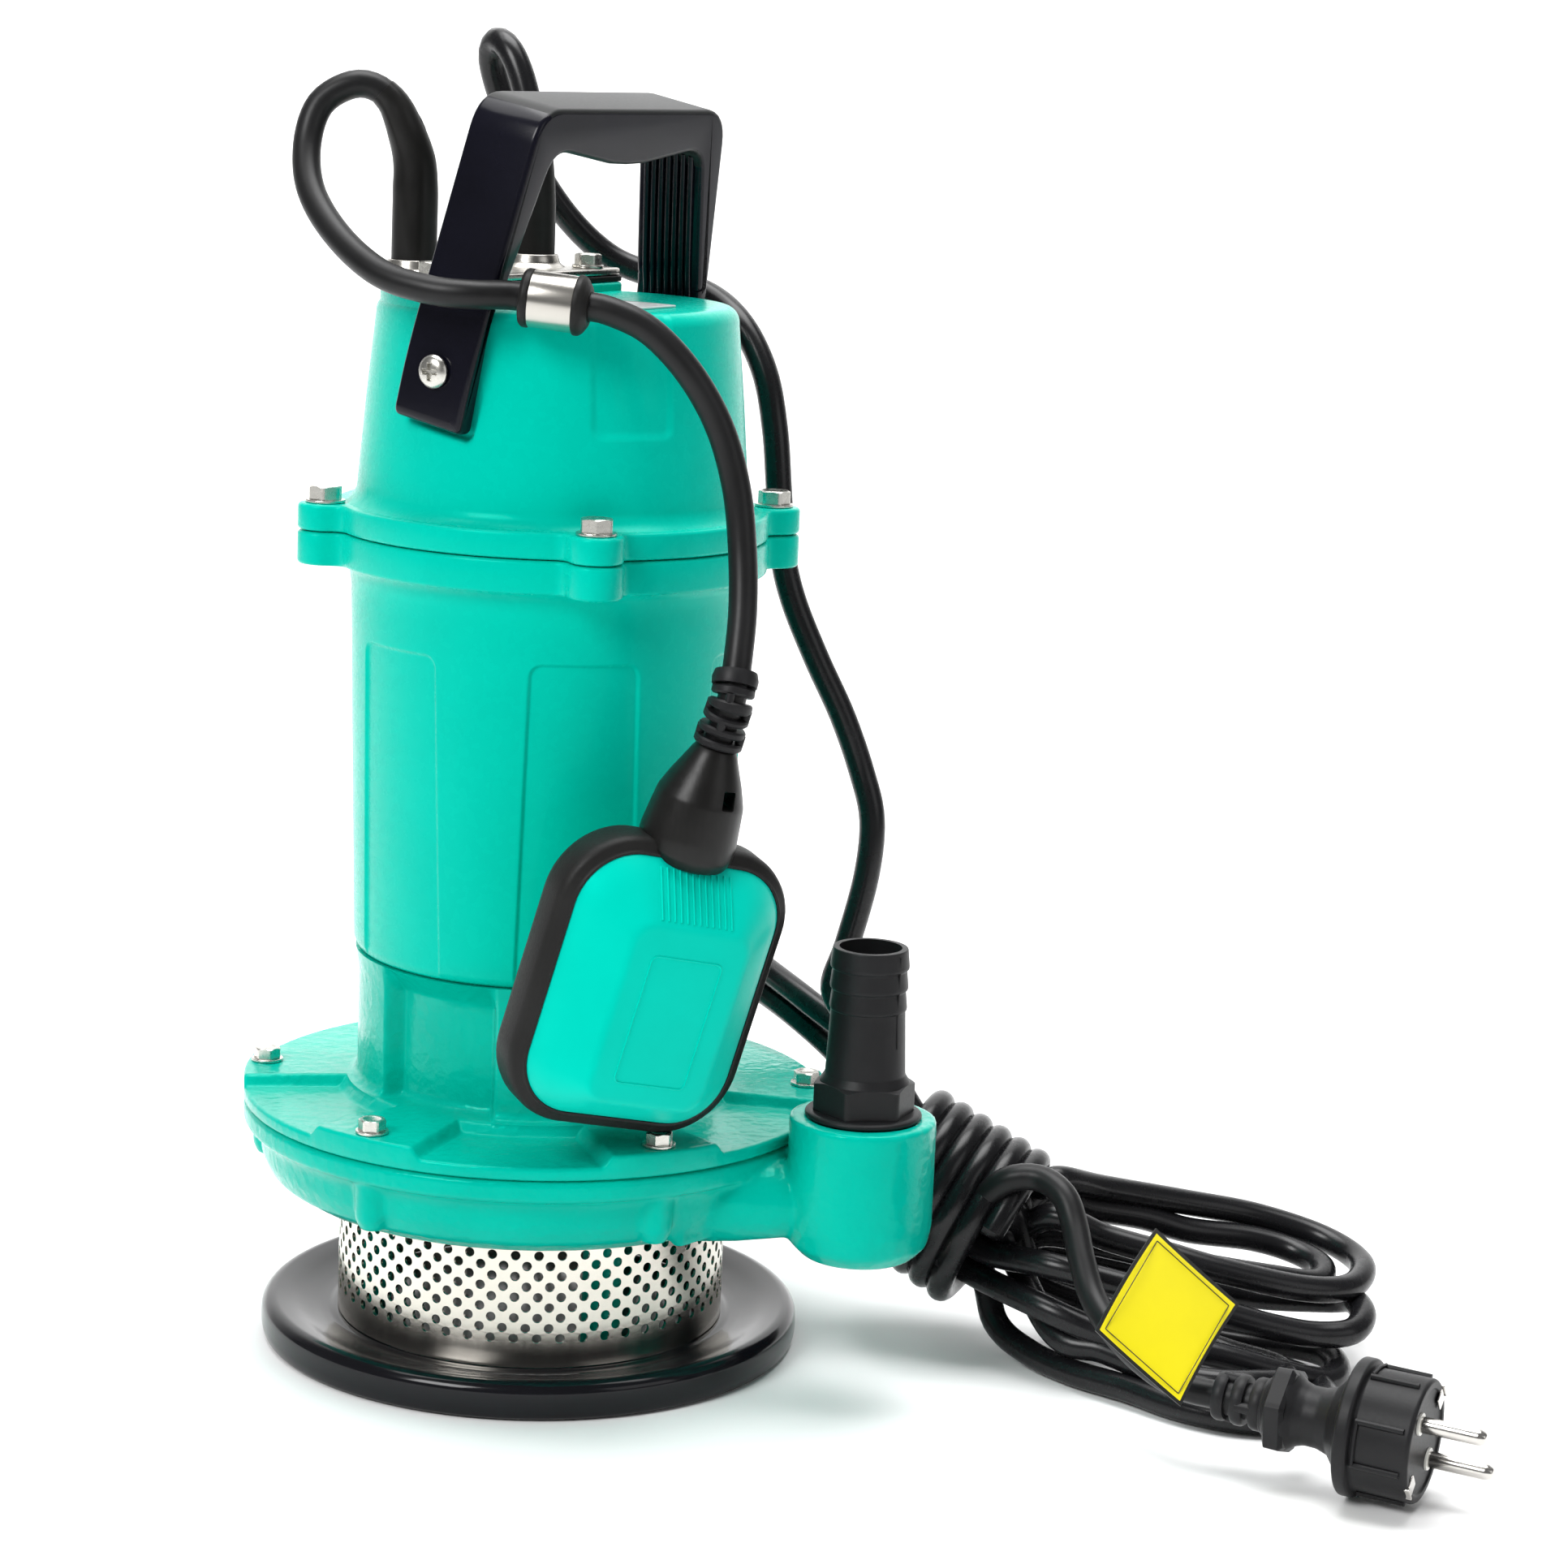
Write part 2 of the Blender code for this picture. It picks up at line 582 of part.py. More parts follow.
def fasteners():
    """The cap's, the cover's and the clamp plate's bolts."""
    for index, azimuth in enumerate(LUG_AZIMUTHS):
        hex_bolt(f"cap_bolt_{index + 1}", polar(LUG_CIRCLE, azimuth), LUG_TOP, 2.5, 17.5)
    for index, azimuth in enumerate(COVER_BOLT_AZIMUTHS):
        hex_bolt(f"cover_bolt_{index + 1}", polar(COVER_BOLT_CIRCLE, azimuth), COVER_TOP, 2.1, 25.0)
    for index, spot in enumerate(plate_bolt_spots()):
        hex_bolt(f"clamp_plate_bolt_{index + 1}", spot, ENTRY_PLATE_TOP, 2.0, 12.0)


def torus(name, radius, thickness, height, finish):
    """A seal ring of round section."""
    profile = []
    for step in range(6):
        angle = math.radians(90 - 60 * step)
        profile.append((radius + thickness * math.cos(angle), height + thickness * math.sin(angle)))
    return turned(name, profile, finish, segments=24)


def seals():
    """The rings in the casing joint and in the cap joint."""
    torus("casing_seal_ring", 78.0, 1.5, 74.3, RUBBER)
    torus("cap_seal_ring", 60.0, 1.4, JOINT_HEIGHT - 1.6, RUBBER)


def hose_connector():
    """The threaded hose connector with its flange, hexagon and barbed tube."""
    place = frame_at((OUTLET_X, OUTLET_Y, 0.0), (0, 0, 1))
    ridges = []
    for index in range(3):
        top = BARB_TOP - 4.0 - 6.3 * index
        ridges += [(BARB_RADIUS - 0.8, top), (BARB_RADIUS, top - 4.0)]
    connector = turned("hose_connector", [
        (BARB_BORE, BARB_TOP), (BARB_RADIUS - 1.0, BARB_TOP), (BARB_RADIUS - 0.6, BARB_TOP - 0.8),
        *ridges, (BARB_RADIUS + 0.3, 101.4), (BARB_RADIUS + 0.3, 96.0), (15.6, 93.0), (18.0, 91.0),
        (18.0, OUTLET_TOP + GAP), (OUTLET_THREAD_RADIUS - 0.8, OUTLET_TOP + GAP),
        (OUTLET_THREAD_RADIUS - 0.8, 71.0), (BARB_BORE + 1.0, 71.0), (BARB_BORE, 93.0),
    ], BLACK_PLASTIC, place, 18)
    hexagon = tube("connector_hexagon", BARB_RADIUS - 1.2, 15.8, 90.0, 100.6, None, place, 6)
    join(connector, hexagon)


def cable_entry():
    """The gasket, the clamp plate with its two flared collars, and the two rubber sleeves."""
    gasket_outline = entry_segment(54.4, ENTRY_CHORD - 0.4)
    gasket = outline("clamp_plate_gasket", gasket_outline, ENTRY_TOP + GAP, ENTRY_TOP + 1.7, RUBBER)
    plate = outline("cable_clamp_plate", entry_segment(54.0, ENTRY_CHORD), ENTRY_TOP + 2.0,
                    ENTRY_PLATE_TOP, STAINLESS)
    names = ("float_cable", "power_cable")
    for name, spot in zip(names, sleeve_spots()):
        place = frame_at(spot, (0, 0, 1))
        cut(gasket, rod(f"{name}_gasket_hole", 5.2, 325.0, 332.0, None, place, SMALL_ROUND))
        collar = turned(f"{name}_collar", [
            (0.0, 336.4), (7.9, 336.4), (8.4, 333.8), (8.9, 331.6), (0.0, 331.6),
        ], None, place, SMALL_ROUND)
        join(plate, collar)
        bore = rod(f"{name}_collar_bore", SLEEVE_RADIUS + GAP, 325.0, 340.0, None, place)
        cut(plate, bore)
        turned(f"{name}_sleeve", [
            (SLEEVE_RADIUS - 1.4, SLEEVE_TOP), (SLEEVE_RADIUS, 352.0),
            (SLEEVE_RADIUS, ENTRY_TOP + 2.0), (CABLE_RADIUS + 0.4, ENTRY_TOP + 2.0),
            (CABLE_RADIUS + 0.4, SLEEVE_TOP),
        ], RUBBER, place, SMALL_ROUND)
    for index, spot in enumerate(plate_bolt_spots()):
        place = frame_at(spot, (0, 0, 1))
        for piece in (gasket, plate):
            hole_name = f"{piece.name}_bolt_hole_{index + 1}"
            cut(piece, rod(hole_name, 2.3, 325.0, 335.0, None, place, FASTENER_ROUND))


def clamp():
    """The steel ferrule that holds the float's cable, its rubber bush and its strap."""
    place = frame_at(FERRULE_CENTRE, FERRULE_AXIS)
    tube("float_cable_ferrule", FERRULE_RADIUS - 0.8, FERRULE_RADIUS, -6.5, 6.5, STAINLESS, place)
    turned("float_cable_bush", [
        (7.6, 9.6), (8.4, 8.8), (8.4, 6.5 + GAP), (FERRULE_RADIUS - 0.8 - GAP, 6.5 + GAP),
        (FERRULE_RADIUS - 0.8 - GAP, -6.5 - GAP), (8.4, -6.5 - GAP), (8.4, -8.6), (7.6, -9.4),
        (CABLE_RADIUS + GAP, -9.4), (CABLE_RADIUS + GAP, 9.6),
    ], RUBBER, place, SMALL_ROUND)
    strap_half_width = 5.0
    strap_low = CAP_TOP + 0.5
    strap_high = CAP_TOP + 1.5
    strap = [(-55.6, 323.0), (-55.0, 323.0), (-55.0, strap_low), (-44.0, strap_low),
             (-44.0, strap_high), (-55.0, strap_high), (-55.0, 330.0), (-55.6, 330.0)]
    place = Matrix.Translation((FERRULE_CENTRE[0] * MM, 0.0, 0.0))
    outline("ferrule_strap", strap, -strap_half_width, strap_half_width, STEEL, place @ UPRIGHT)


def float_cable_upper():
    """The float's cable from its sleeve, over one loop, into the clamp."""
    sleeve = sleeve_spots()[0]
    axis = Vector(FERRULE_AXIS).normalized()
    centre = Vector(FERRULE_CENTRE)
    points = [
        (sleeve.x, sleeve.y, 322.8), (sleeve.x, sleeve.y, 345.0), (sleeve.x, sleeve.y, 368.0),
        (-47, -12, 379), (-54, -12, 386), (-62, -13, 387), (-71, -15, 381), (-74, -20, 369),
        (-71, -30, 356), (-61, -43, 344), (-47, -57, 335), (-32, -65, 331.5), (-20, -67, 330.8),
        centre - axis * 12, centre, centre + axis * 9.4,
    ]
    return cord("float_cable_upper", through(points, 10.0), CABLE_RADIUS, RUBBER)


def coil_point(turn):
    """A point of the coil: an outward spiral, flat on the floor at +X and raised at -X."""
    angle = math.pi + 2 * math.pi * turn
    half_x = COIL_INNER[0] + COIL_PITCH * turn
    half_y = COIL_INNER[1] + COIL_PITCH * turn
    raised = ((1 - math.cos(angle)) / 2) ** 2
    back = max(0.0, math.sin(angle))
    height = CABLE_RADIUS + 1.0 + 40.0 * raised + 14.0 * back
    x = COIL_CENTRE[0] + half_x * math.cos(angle)
    y = COIL_CENTRE[1] + half_y * math.sin(angle)
    return (x, y, height)


def power_cable():
    """The power cable: a loop over the cap, down behind the body, the coil, then the plug."""
    sleeve = sleeve_spots()[1]
    flange = Vector(PLUG_FLANGE_CENTRE)
    plug_axis = Vector(PLUG_AXIS).normalized()
    drop = through([
        (sleeve.x, sleeve.y, 322.8), (sleeve.x, sleeve.y, 345.0), (sleeve.x, sleeve.y, 368.0),
        (-16, 46, 387), (-21, 50, 398), (-26, 56, 401), (-28, 61, 395), (-24, 65, 381),
        (-15, 68.5, 363), (-3, 72, 346), (11, 74.5, 334), (27, 73, 328.5), (43, 66, 324),
        (54, 54, 316), (62, 46, 302), (66, 40, 285), (68, 37, 267), (70, 36, 247), (74, 35, 232),
        (82, 34, 214), (91, 34, 196), (98, 34, 178), (102, 32, 163), (101, 30, 145),
        (96, 29, 123), (92, 30, 108), (98, 31, 97), (112, 30, 88), (128, 27, 78), (141, 20, 66),
        coil_point(0.0),
    ], 13.0)
    per_turn = 20
    coil = [coil_point(step / per_turn) for step in range(1, COIL_TURNS * per_turn)]
    tail = through([
        coil_point(COIL_TURNS), (112, -8, 52), (120, -22, 60), (135, -26, 65), (152, -26, 65),
        (165.5, -30, 60), (170, -38, 50), (173, -49, 38), (180, -64, 29), (189, -78, 25),
        flange - plug_axis * 54, flange - plug_axis * 41,
    ], 13.0)
    return cord("power_cable", drop + coil + tail, CABLE_RADIUS, RUBBER)


def plug():
    """The round two-pin plug on the floor, and the blank tag on its cable."""
    place = frame_at(PLUG_FLANGE_CENTRE, PLUG_AXIS)
    body = turned("plug_body", [
        (0.0, 19.9), (16.8, 19.9), (18.0, 18.7), (18.0, 2.2), (20.0, 2.2), (20.0, -2.0),
        (13.0, -4.5), (9.2, -8.0), (8.6, -15.0), (11.5, -19.5), (11.5, -25.5), (7.9, -27.0),
        (7.0, -44.0), (CABLE_RADIUS + GAP, -44.0), (CABLE_RADIUS + GAP, -39.0), (0.0, -39.0),
    ], BLACK_PLASTIC, place, 18)
    roll = Matrix.Rotation(math.radians(40), 4, "Z")
    for index, side in enumerate((-1, 1)):
        at_pin = place @ roll @ Matrix.Translation((side * 9.5 * MM, 0.0, 0.0))
        cut(body, rod(f"pin_hole_{index + 1}", 2.4 + GAP, 12.0, 22.0, None, at_pin, FASTENER_ROUND))
        turned(f"plug_pin_{index + 1}", [
            (0.0, 39.0), (1.6, 38.4), (2.4, 36.6), (2.4, 12.0 + GAP), (0.0, 12.0 + GAP),
        ], STEEL, at_pin, FASTENER_ROUND)
    tag_place = frame_at((191.2, -101.0, 47.5), (0.56, -0.83, 0.0))
    tag_turn = Matrix.Rotation(math.radians(55), 4, "Z")
    box("cable_tag", (-17.5, -17.5, -0.3), (17.5, 17.5, 0.3), YELLOW, tag_place @ tag_turn)


def rating_plate():
    """The blank plate on the cap's top, square to the handle."""
    place = Matrix.Rotation(math.radians(HANDLE_AZIMUTH), 4, "Z")
    low = (RATING_PLATE_NEAR, -RATING_PLATE_LENGTH / 2 - 11.75, CAP_TOP + GAP)
    high = (RATING_PLATE_FAR, RATING_PLATE_LENGTH / 2 - 11.75, CAP_TOP + 0.9)
    box("rating_plate", low, high, LABEL, place)


def float_frame():
    """The float's frame: X across, Y along its length towards the cable, Z out of its front."""
    length = Vector(FLOAT_LENGTH_AXIS).normalized()
    face = polar(1.0, FLOAT_FACE_AZIMUTH)
    face = (face - length * face.dot(length)).normalized()
    across = length.cross(face)
    turn = Matrix((across, length, face)).transposed().to_4x4()
    return Matrix.Translation(Vector(FLOAT_CENTRE) * MM) @ turn


def float_switch():
    """The float: two shells in a rubber band, with the switch and its ball cage inside."""
    place = float_frame()
    along = place @ Matrix.Rotation(math.radians(-90), 4, "X")
    inner_width = FLOAT_HALF_WIDTH - FLOAT_BAND_WALL
    inner_length = FLOAT_HALF_LENGTH - FLOAT_BAND_WALL
    inner_corner = FLOAT_CORNER - FLOAT_BAND_WALL
    band_half = FLOAT_BAND_HALF
    band = lofted("float_band", [
        (-band_half, rounded_box(FLOAT_HALF_WIDTH - 2, FLOAT_HALF_LENGTH - 2, FLOAT_CORNER - 2)),
        (-band_half + 3, rounded_box(FLOAT_HALF_WIDTH, FLOAT_HALF_LENGTH, FLOAT_CORNER)),
        (band_half - 3, rounded_box(FLOAT_HALF_WIDTH, FLOAT_HALF_LENGTH, FLOAT_CORNER)),
        (band_half, rounded_box(FLOAT_HALF_WIDTH - 2, FLOAT_HALF_LENGTH - 2, FLOAT_CORNER - 2)),
    ], RUBBER, place)
    opening = rounded_box(inner_width, inner_length, inner_corner)
    core_sections = [(-band_half - 1, opening), (band_half + 1, opening)]
    band_core = lofted("float_band_core", core_sections, None, place)
    entry = rod("float_cable_hole", CABLE_RADIUS + 0.5, 20.0, FLOAT_HALF_LENGTH + 6, None, along)
    cut(band, band_core, entry)
    for name, turn in (("front", 0.0), ("back", 180.0)):
        side = place @ Matrix.Rotation(math.radians(turn), 4, "Y")
        shell = lofted(f"float_shell_{name}", [
            (GAP, rounded_box(inner_width - GAP, inner_length - GAP, inner_corner - GAP)),
            (band_half + 1.5, rounded_box(inner_width - GAP, inner_length - GAP, inner_corner - GAP)),
            (FLOAT_HALF_DEPTH - 1.0, rounded_box(inner_width - 10, inner_length - 11, inner_corner - 4)),
            (FLOAT_HALF_DEPTH, rounded_box(inner_width - 12, inner_length - 13, inner_corner - 5)),
        ], GREEN, side)
        hollow = lofted(f"float_hollow_{name}", [
            (-1.0, rounded_box(inner_width - 3, inner_length - 3, inner_corner - 3)),
            (band_half, rounded_box(inner_width - 3, inner_length - 3, inner_corner - 3)),
            (FLOAT_HALF_DEPTH - 3.0, rounded_box(inner_width - 12, inner_length - 13, inner_corner - 6)),
        ], None, side)
        cut(shell, hollow, entry)
    turned("float_boot", [
        (6.4, 73.5), (9.4, 69.5), (13.4, FLOAT_HALF_LENGTH + 8),
        (13.8, FLOAT_HALF_LENGTH + 0.5), (CABLE_RADIUS + 0.5, FLOAT_HALF_LENGTH + 0.5),
        (CABLE_RADIUS + 0.5, 73.5),
    ], RUBBER, along, SMALL_ROUND)
    box("float_microswitch", (-10.0, 14.0, -4.5), (10.0, 25.0, 4.5), BLACK_PLASTIC, place)
    turned("float_ball_cage", [
        (0.0, -30.5), (6.8, -30.5), (6.8, 12.0), (8.4, 12.0), (8.4, -32.0), (0.0, -32.0),
    ], BLACK_PLASTIC, along, 16)
    ball = [(BALL_RADIUS * math.sin(math.pi * step / 8), BALL_RADIUS * math.cos(math.pi * step / 8))
            for step in range(9)]
    ball[0] = (0.0, BALL_RADIUS)
    ball[-1] = (0.0, -BALL_RADIUS)
    turned("switch_ball", ball, STEEL, along @ Matrix.Translation((0, 0, BALL_REST * MM)), 16)


def float_cable_lower():
    """The float's cable from its pivot at the clamp down into the float."""
    place = float_frame()
    end = [place @ Vector((0.0, height * MM, 0.0)) / MM for height in (88.0, 80.0, 64.0, 33.0)]
    points = [FLOAT_PIVOT, (31, -66.5, 323.0), (43, -66, 311), (52, -64.5, 296), (57.5, -65, 279),
              (60, -68, 262), (61, -73.5, 246), (60.4, -79.5, 232), *end]
    return cord("float_cable_lower", through(points, 12.0), CABLE_RADIUS, RUBBER)


def rotor():
    """The shaft and what turns with it: rotor core, seal head, impeller and nut."""
    turned("rotor_shaft", [
        (0.0, 250.0), (SHAFT_RADIUS - 0.6, 249.4), (SHAFT_RADIUS - 0.3, 248.0),
        (SHAFT_RADIUS - 0.3, 234.0), (8.4, 233.0), (8.4, 112.0), (SHAFT_RADIUS - 0.3, 111.0),
        (SHAFT_RADIUS - 0.3, 72.0), (5.0, 71.0), (5.0, 50.0), (0.0, 50.0),
    ], STEEL, segments=20)
    tube("rotor_core", 8.4 + GAP, ROTOR_RADIUS, CORE_BOTTOM, CORE_TOP, LAMINATION, segments=24)
    turned("shaft_seal_head", [
        (11.5, 79.6), (12.5, 78.8), (12.5, 73.5), (10.5, 73.0), (SHAFT_RADIUS, 73.0),
        (SHAFT_RADIUS, 79.6),
    ], STAINLESS, segments=18)
    impeller = turned("impeller", [
        (10.5, 71.6), (IMPELLER_RADIUS, 69.6), (IMPELLER_RADIUS, 67.2), (14.0, 67.2), (12.0, 58.0),
        (5.0 + GAP, 58.0), (5.0 + GAP, 70.0), (SHAFT_RADIUS + 0.6, 70.4), (SHAFT_RADIUS + 0.6, 71.6),
    ], BLACK_PLASTIC, segments=24)
    vanes = []
    for index in range(IMPELLER_VANES):
        rim = [(11.5 + 10.5 * step, 9.0 * step) for step in range(6)]
        start = 360.0 / IMPELLER_VANES * index
        outer = [polar(radius, start + turn) for radius, turn in rim]
        inner = [polar(radius, start + turn + math.degrees(2.6 / radius)) for radius, turn in rim]
        points = [(point.x, point.y) for point in outer + inner[::-1]]
        vanes.append(outline(f"impeller_vane_{index + 1}", points, 58.6, 68.0, None))
    join(impeller, *vanes)
    place = frame_at((0.0, 0.0, 51.8), (0, 0, 1))
    nut = rod("impeller_nut", 8.4, 0.0, 5.8, STEEL, place, 6)
    cut(nut, rod("nut_bore", 5.0 + GAP, -1.0, 7.0, None, place))


def motor_inside():
    """Bearings, the upper bearing bracket, stator, windings, shaft seal seat and capacitor."""
    tube("lower_bearing", SHAFT_RADIUS, BEARING_RADIUS, LOWER_BEARING_BOTTOM,
         LOWER_BEARING_BOTTOM + BEARING_WIDTH, STEEL, segments=20)
    tube("upper_bearing", SHAFT_RADIUS, BEARING_RADIUS, UPPER_BEARING_BOTTOM,
         UPPER_BEARING_BOTTOM + BEARING_WIDTH, STEEL, segments=20)
    turned("bearing_bracket", [
        (23.0, 249.0), (23.0, 245.0), (HOUSING_BORE - GAP, 245.0), (HOUSING_BORE - GAP, 240.0),
        (23.0, 240.0), (23.0, 234.5), (10.0, 234.5), (10.0, UPPER_BEARING_BOTTOM - GAP),
        (BEARING_RADIUS + GAP, UPPER_BEARING_BOTTOM - GAP), (BEARING_RADIUS + GAP, 249.0),
    ], STEEL, segments=20)
    tube("stator_core", ROTOR_RADIUS + 0.6, HOUSING_BORE - GAP, CORE_BOTTOM - 2, CORE_TOP + 2,
         LAMINATION, segments=24)
    lower_winding = ("lower", 132.0, CORE_BOTTOM - 2 - GAP)
    upper_winding = ("upper", CORE_TOP + 2 + GAP, 230.0)
    for name, bottom, top in (lower_winding, upper_winding):
        middle = (bottom + top) / 2
        half = (top - bottom) / 2
        turned(f"stator_winding_{name}", [
            (38.0, top), (45.0, middle + half * 0.5), (45.0, middle - half * 0.5), (38.0, bottom),
            (31.0, middle - half * 0.5), (31.0, middle + half * 0.5),
        ], COPPER, segments=20)
    turned("shaft_seal_seat", [
        (14.0, 90.6), (14.0, 83.0), (12.0, 80.2), (9.2, 80.2), (9.2, 90.6),
    ], CERAMIC, segments=18)
    capacitor = frame_at((20.0, -17.0, 0.0), (0, 0, 1))
    rod("start_capacitor", 17.0, 262.0, 312.0, BLACK_PLASTIC, capacitor)


strainer_and_base()
volute_casing()
pump_cover()
motor_housing()
top_cap()
carry_handle()
fasteners()
seals()
hose_connector()
cable_entry()
clamp()
float_cable_upper()
power_cable()
plug()
rating_plate()
float_switch()
float_cable_lower()
rotor()
motor_inside()
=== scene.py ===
"""The looks of a submersible sump pump with a float switch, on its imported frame.

Lengths are millimetres and become metres when a mesh is made. An azimuth is measured in
degrees from the front (-Y) towards the discharge side (+X), as in the frame.
"""

import json
import math

import bmesh
import bpy
import numpy as np
from mathutils import Matrix, Vector


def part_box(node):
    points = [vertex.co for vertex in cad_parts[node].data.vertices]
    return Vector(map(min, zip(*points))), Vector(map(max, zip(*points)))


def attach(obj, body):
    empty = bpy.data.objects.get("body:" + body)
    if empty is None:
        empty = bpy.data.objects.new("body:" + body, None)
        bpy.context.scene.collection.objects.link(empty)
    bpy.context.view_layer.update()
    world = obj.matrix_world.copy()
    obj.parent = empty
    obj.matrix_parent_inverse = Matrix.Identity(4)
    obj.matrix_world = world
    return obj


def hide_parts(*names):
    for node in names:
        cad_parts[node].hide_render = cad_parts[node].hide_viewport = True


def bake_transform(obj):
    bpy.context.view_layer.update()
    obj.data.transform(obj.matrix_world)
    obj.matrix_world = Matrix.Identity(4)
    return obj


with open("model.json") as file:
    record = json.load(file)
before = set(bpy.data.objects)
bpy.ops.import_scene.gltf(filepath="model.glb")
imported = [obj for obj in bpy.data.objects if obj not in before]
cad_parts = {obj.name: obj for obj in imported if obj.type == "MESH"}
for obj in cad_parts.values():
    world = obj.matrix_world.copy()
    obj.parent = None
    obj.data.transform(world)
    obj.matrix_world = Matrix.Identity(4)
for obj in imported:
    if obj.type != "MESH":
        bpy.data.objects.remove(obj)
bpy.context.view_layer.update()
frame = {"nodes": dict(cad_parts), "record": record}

MM = 0.001
JOINTS = {joint["name"]: joint for joint in frame["record"]["behaviour"]["joints"]}


def low(node):
    """A node's lowest height, in millimetres."""
    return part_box(node)[0][2] / MM


def high(node, axis=2):
    """A node's highest coordinate along an axis, in millimetres."""
    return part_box(node)[1][axis] / MM


def middle(node):
    """The middle of a node's box, in millimetres."""
    lows, highs = np.array(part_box(node))
    return (lows + highs) / 2 / MM


# Base, strainer and pump end
BASE_RADIUS = high("base_plate", 1)
SCREEN_RADIUS = high("strainer_screen", 1)
SCREEN_BOTTOM = low("strainer_screen")
SCREEN_TOP = high("strainer_screen")
SCREEN_WALL = 0.9
HOLE_RADIUS = 1.5
HOLE_ROWS = 9
HOLES_PER_ROW = 54
HOLE_ROW_STEP = 3.27
LOWEST_HOLE_ROW = 17.6
POST_RADIUS = 6.0
CASING_BOTTOM = 48.2
CASING_BOSS_TOP = 71.0
FLANGE_RADIUS = high("pump_cover", 1)
COVER_SPIGOT_DEPTH = 3.9
CASING_TOP = low("pump_cover") + COVER_SPIGOT_DEPTH
FLANGE_BOTTOM = 69.8
COVER_TOP = 84.0
COVER_POCKET = 80.6
POCKET_HALF_ANGLE = 19.5
POCKET_INNER_RADIUS = 58.0
POCKET_SLOPE = 4.2
RIM_EDGE = 1.1
COVER_BOLT_AZIMUTHS = [-30.0 + 60.0 * index for index in range(6)]
NECK_RADIUS = 50.0
NECK_COLUMN_RADIUS = 56.0
NECK_FILLET = 3.2
NECK_FLARE_RADIUS = 57.2
NECK_FLARE_BOTTOM = 117.0
NECK_TOP = high("pump_cover")
OUTLET = middle("hose_connector")
OUTLET_RADIUS = 22.2
OUTLET_TOP = 89.0
OUTLET_BOTTOM = 44.0
DUCT_HEIGHT = 61.5
BARB_TOP = high("hose_connector")
BARB_RADIUS = 12.1
BARB_BORE = 9.4

# Motor
HOUSING_BOTTOM = low("motor_housing")
JOINT_HEIGHT = high("motor_housing")
MID_FLANGE_RADIUS = 66.0
MID_FLANGE_BOTTOM = 245.0
LUG_AZIMUTHS = [15.0 + 90.0 * index for index in range(4)]
LUG_CIRCLE = 69.4
LUG_RADIUS = 8.2
LUG_TOP = 263.4
CAP_TOP = 325.6
PANEL_TOP = 224.0
PANEL_HALF_ANGLE = 16.0
PANEL_CORNER = 4.0
PANEL_DEPTH = 0.9
FLANGE_EDGE = 1.2

# Handle and cable entry
HANDLE_AZIMUTH = -30.0
HANDLE_SCREW_HEIGHT = 307.3
HANDLE_LEAN = 11.0
HANDLE_WIDTH = 24.0
HANDLE_PAD = 55.2
GRIP_HALF_LENGTH = 45.0
GRIP_BOTTOM = 58.0
FLUTE_SPACING = 2.7
SCREW_HEAD_BASE = 62.8
SCREW_HEAD_RADIUS = 5.0
SCREW_HEAD_DOME = 2.5
ENTRY_TOP = 328.3
ENTRY_PLATE_TOP = 332.6
SLEEVE_RADIUS = 6.8
CABLE_RADIUS = 4.2
FERRULE_CENTRE = (3.6, -65.0, 329.6)
FERRULE_AXIS = (0.985, -0.10, -0.10)

# Float
FLOAT_CENTRE = (36.1, -81.0, 135.8)
FLOAT_LENGTH_AXIS = JOINTS["switch_ball_roll"]["axis"]
FLOAT_FACE_AZIMUTH = 30.5
FLOAT_HALF_WIDTH = 37.8
FLOAT_HALF_LENGTH = 44.6
FLOAT_CORNER = 22.0
BAND_WALL = 4.0
BAND_HALF = 7.0
BAND_INNER = 4.9
PLATEAU_HEIGHT = 21.2
RIB_SPACING = 2.1
RELIEF_LINE = 0.3
CABLE_BEND_END = (52.0, -64.5, 296.0)
RELIEF_TOP = 229.5

# Coil, plug and tag
STRAND_SPACING = 8.6
WRAP_TURNS = 5.75
WRAP_HALF_HEIGHT = 23.6
WRAP_HALF_WIDTH = 22.5
PLUG_FLANGE_CENTRE = (248.5, -111.0, 20.8)
PLUG_AXIS = (0.906, -0.422, -0.026)
PLUG_ROLL = 40.0
PIN_OFFSET = 9.5
CLIP_OFFSET = 14.6
HOOK_OFFSET = 17.6
TAG_CENTRE = (191.6, -101.0, 47.7)
TAG_FACE = (0.50, -0.81, 0.31)
TAG_EDGE = (0.435, 0.617, 0.656)
TAG_HALF = 18.2
TAG_FIELD_HALF = 17.1
TAG_LINE_HALF = 15.6

# Stage and camera: lengths in metres, turns in degrees, the lens in millimetres
FLOOR_HEIGHT = -0.0002
FLOOR_HALF_WIDTH = 5.0
FLOOR_FRONT = -4.0
SWEEP_START = 1.2
SWEEP_RADIUS = 0.9
WALL_TOP = 4.0
PUMP_MIDDLE = (0.05, 0.0, 0.2)
CAMERA_PLACE = (0.0883, -1.1476, 0.409)
CAMERA_HEADING = -0.72
CAMERA_PITCH = 11.21
CAMERA_ROLL = 2.38
CAMERA_LENS = 86.96


# ---------------------------------------------------------------- materials

def set_inputs(node, **values):
    """The shader node with its inputs set. An underscore in a name stands for a space."""
    for name, value in values.items():
        node.inputs[name.replace("_", " ")].default_value = value
    return node


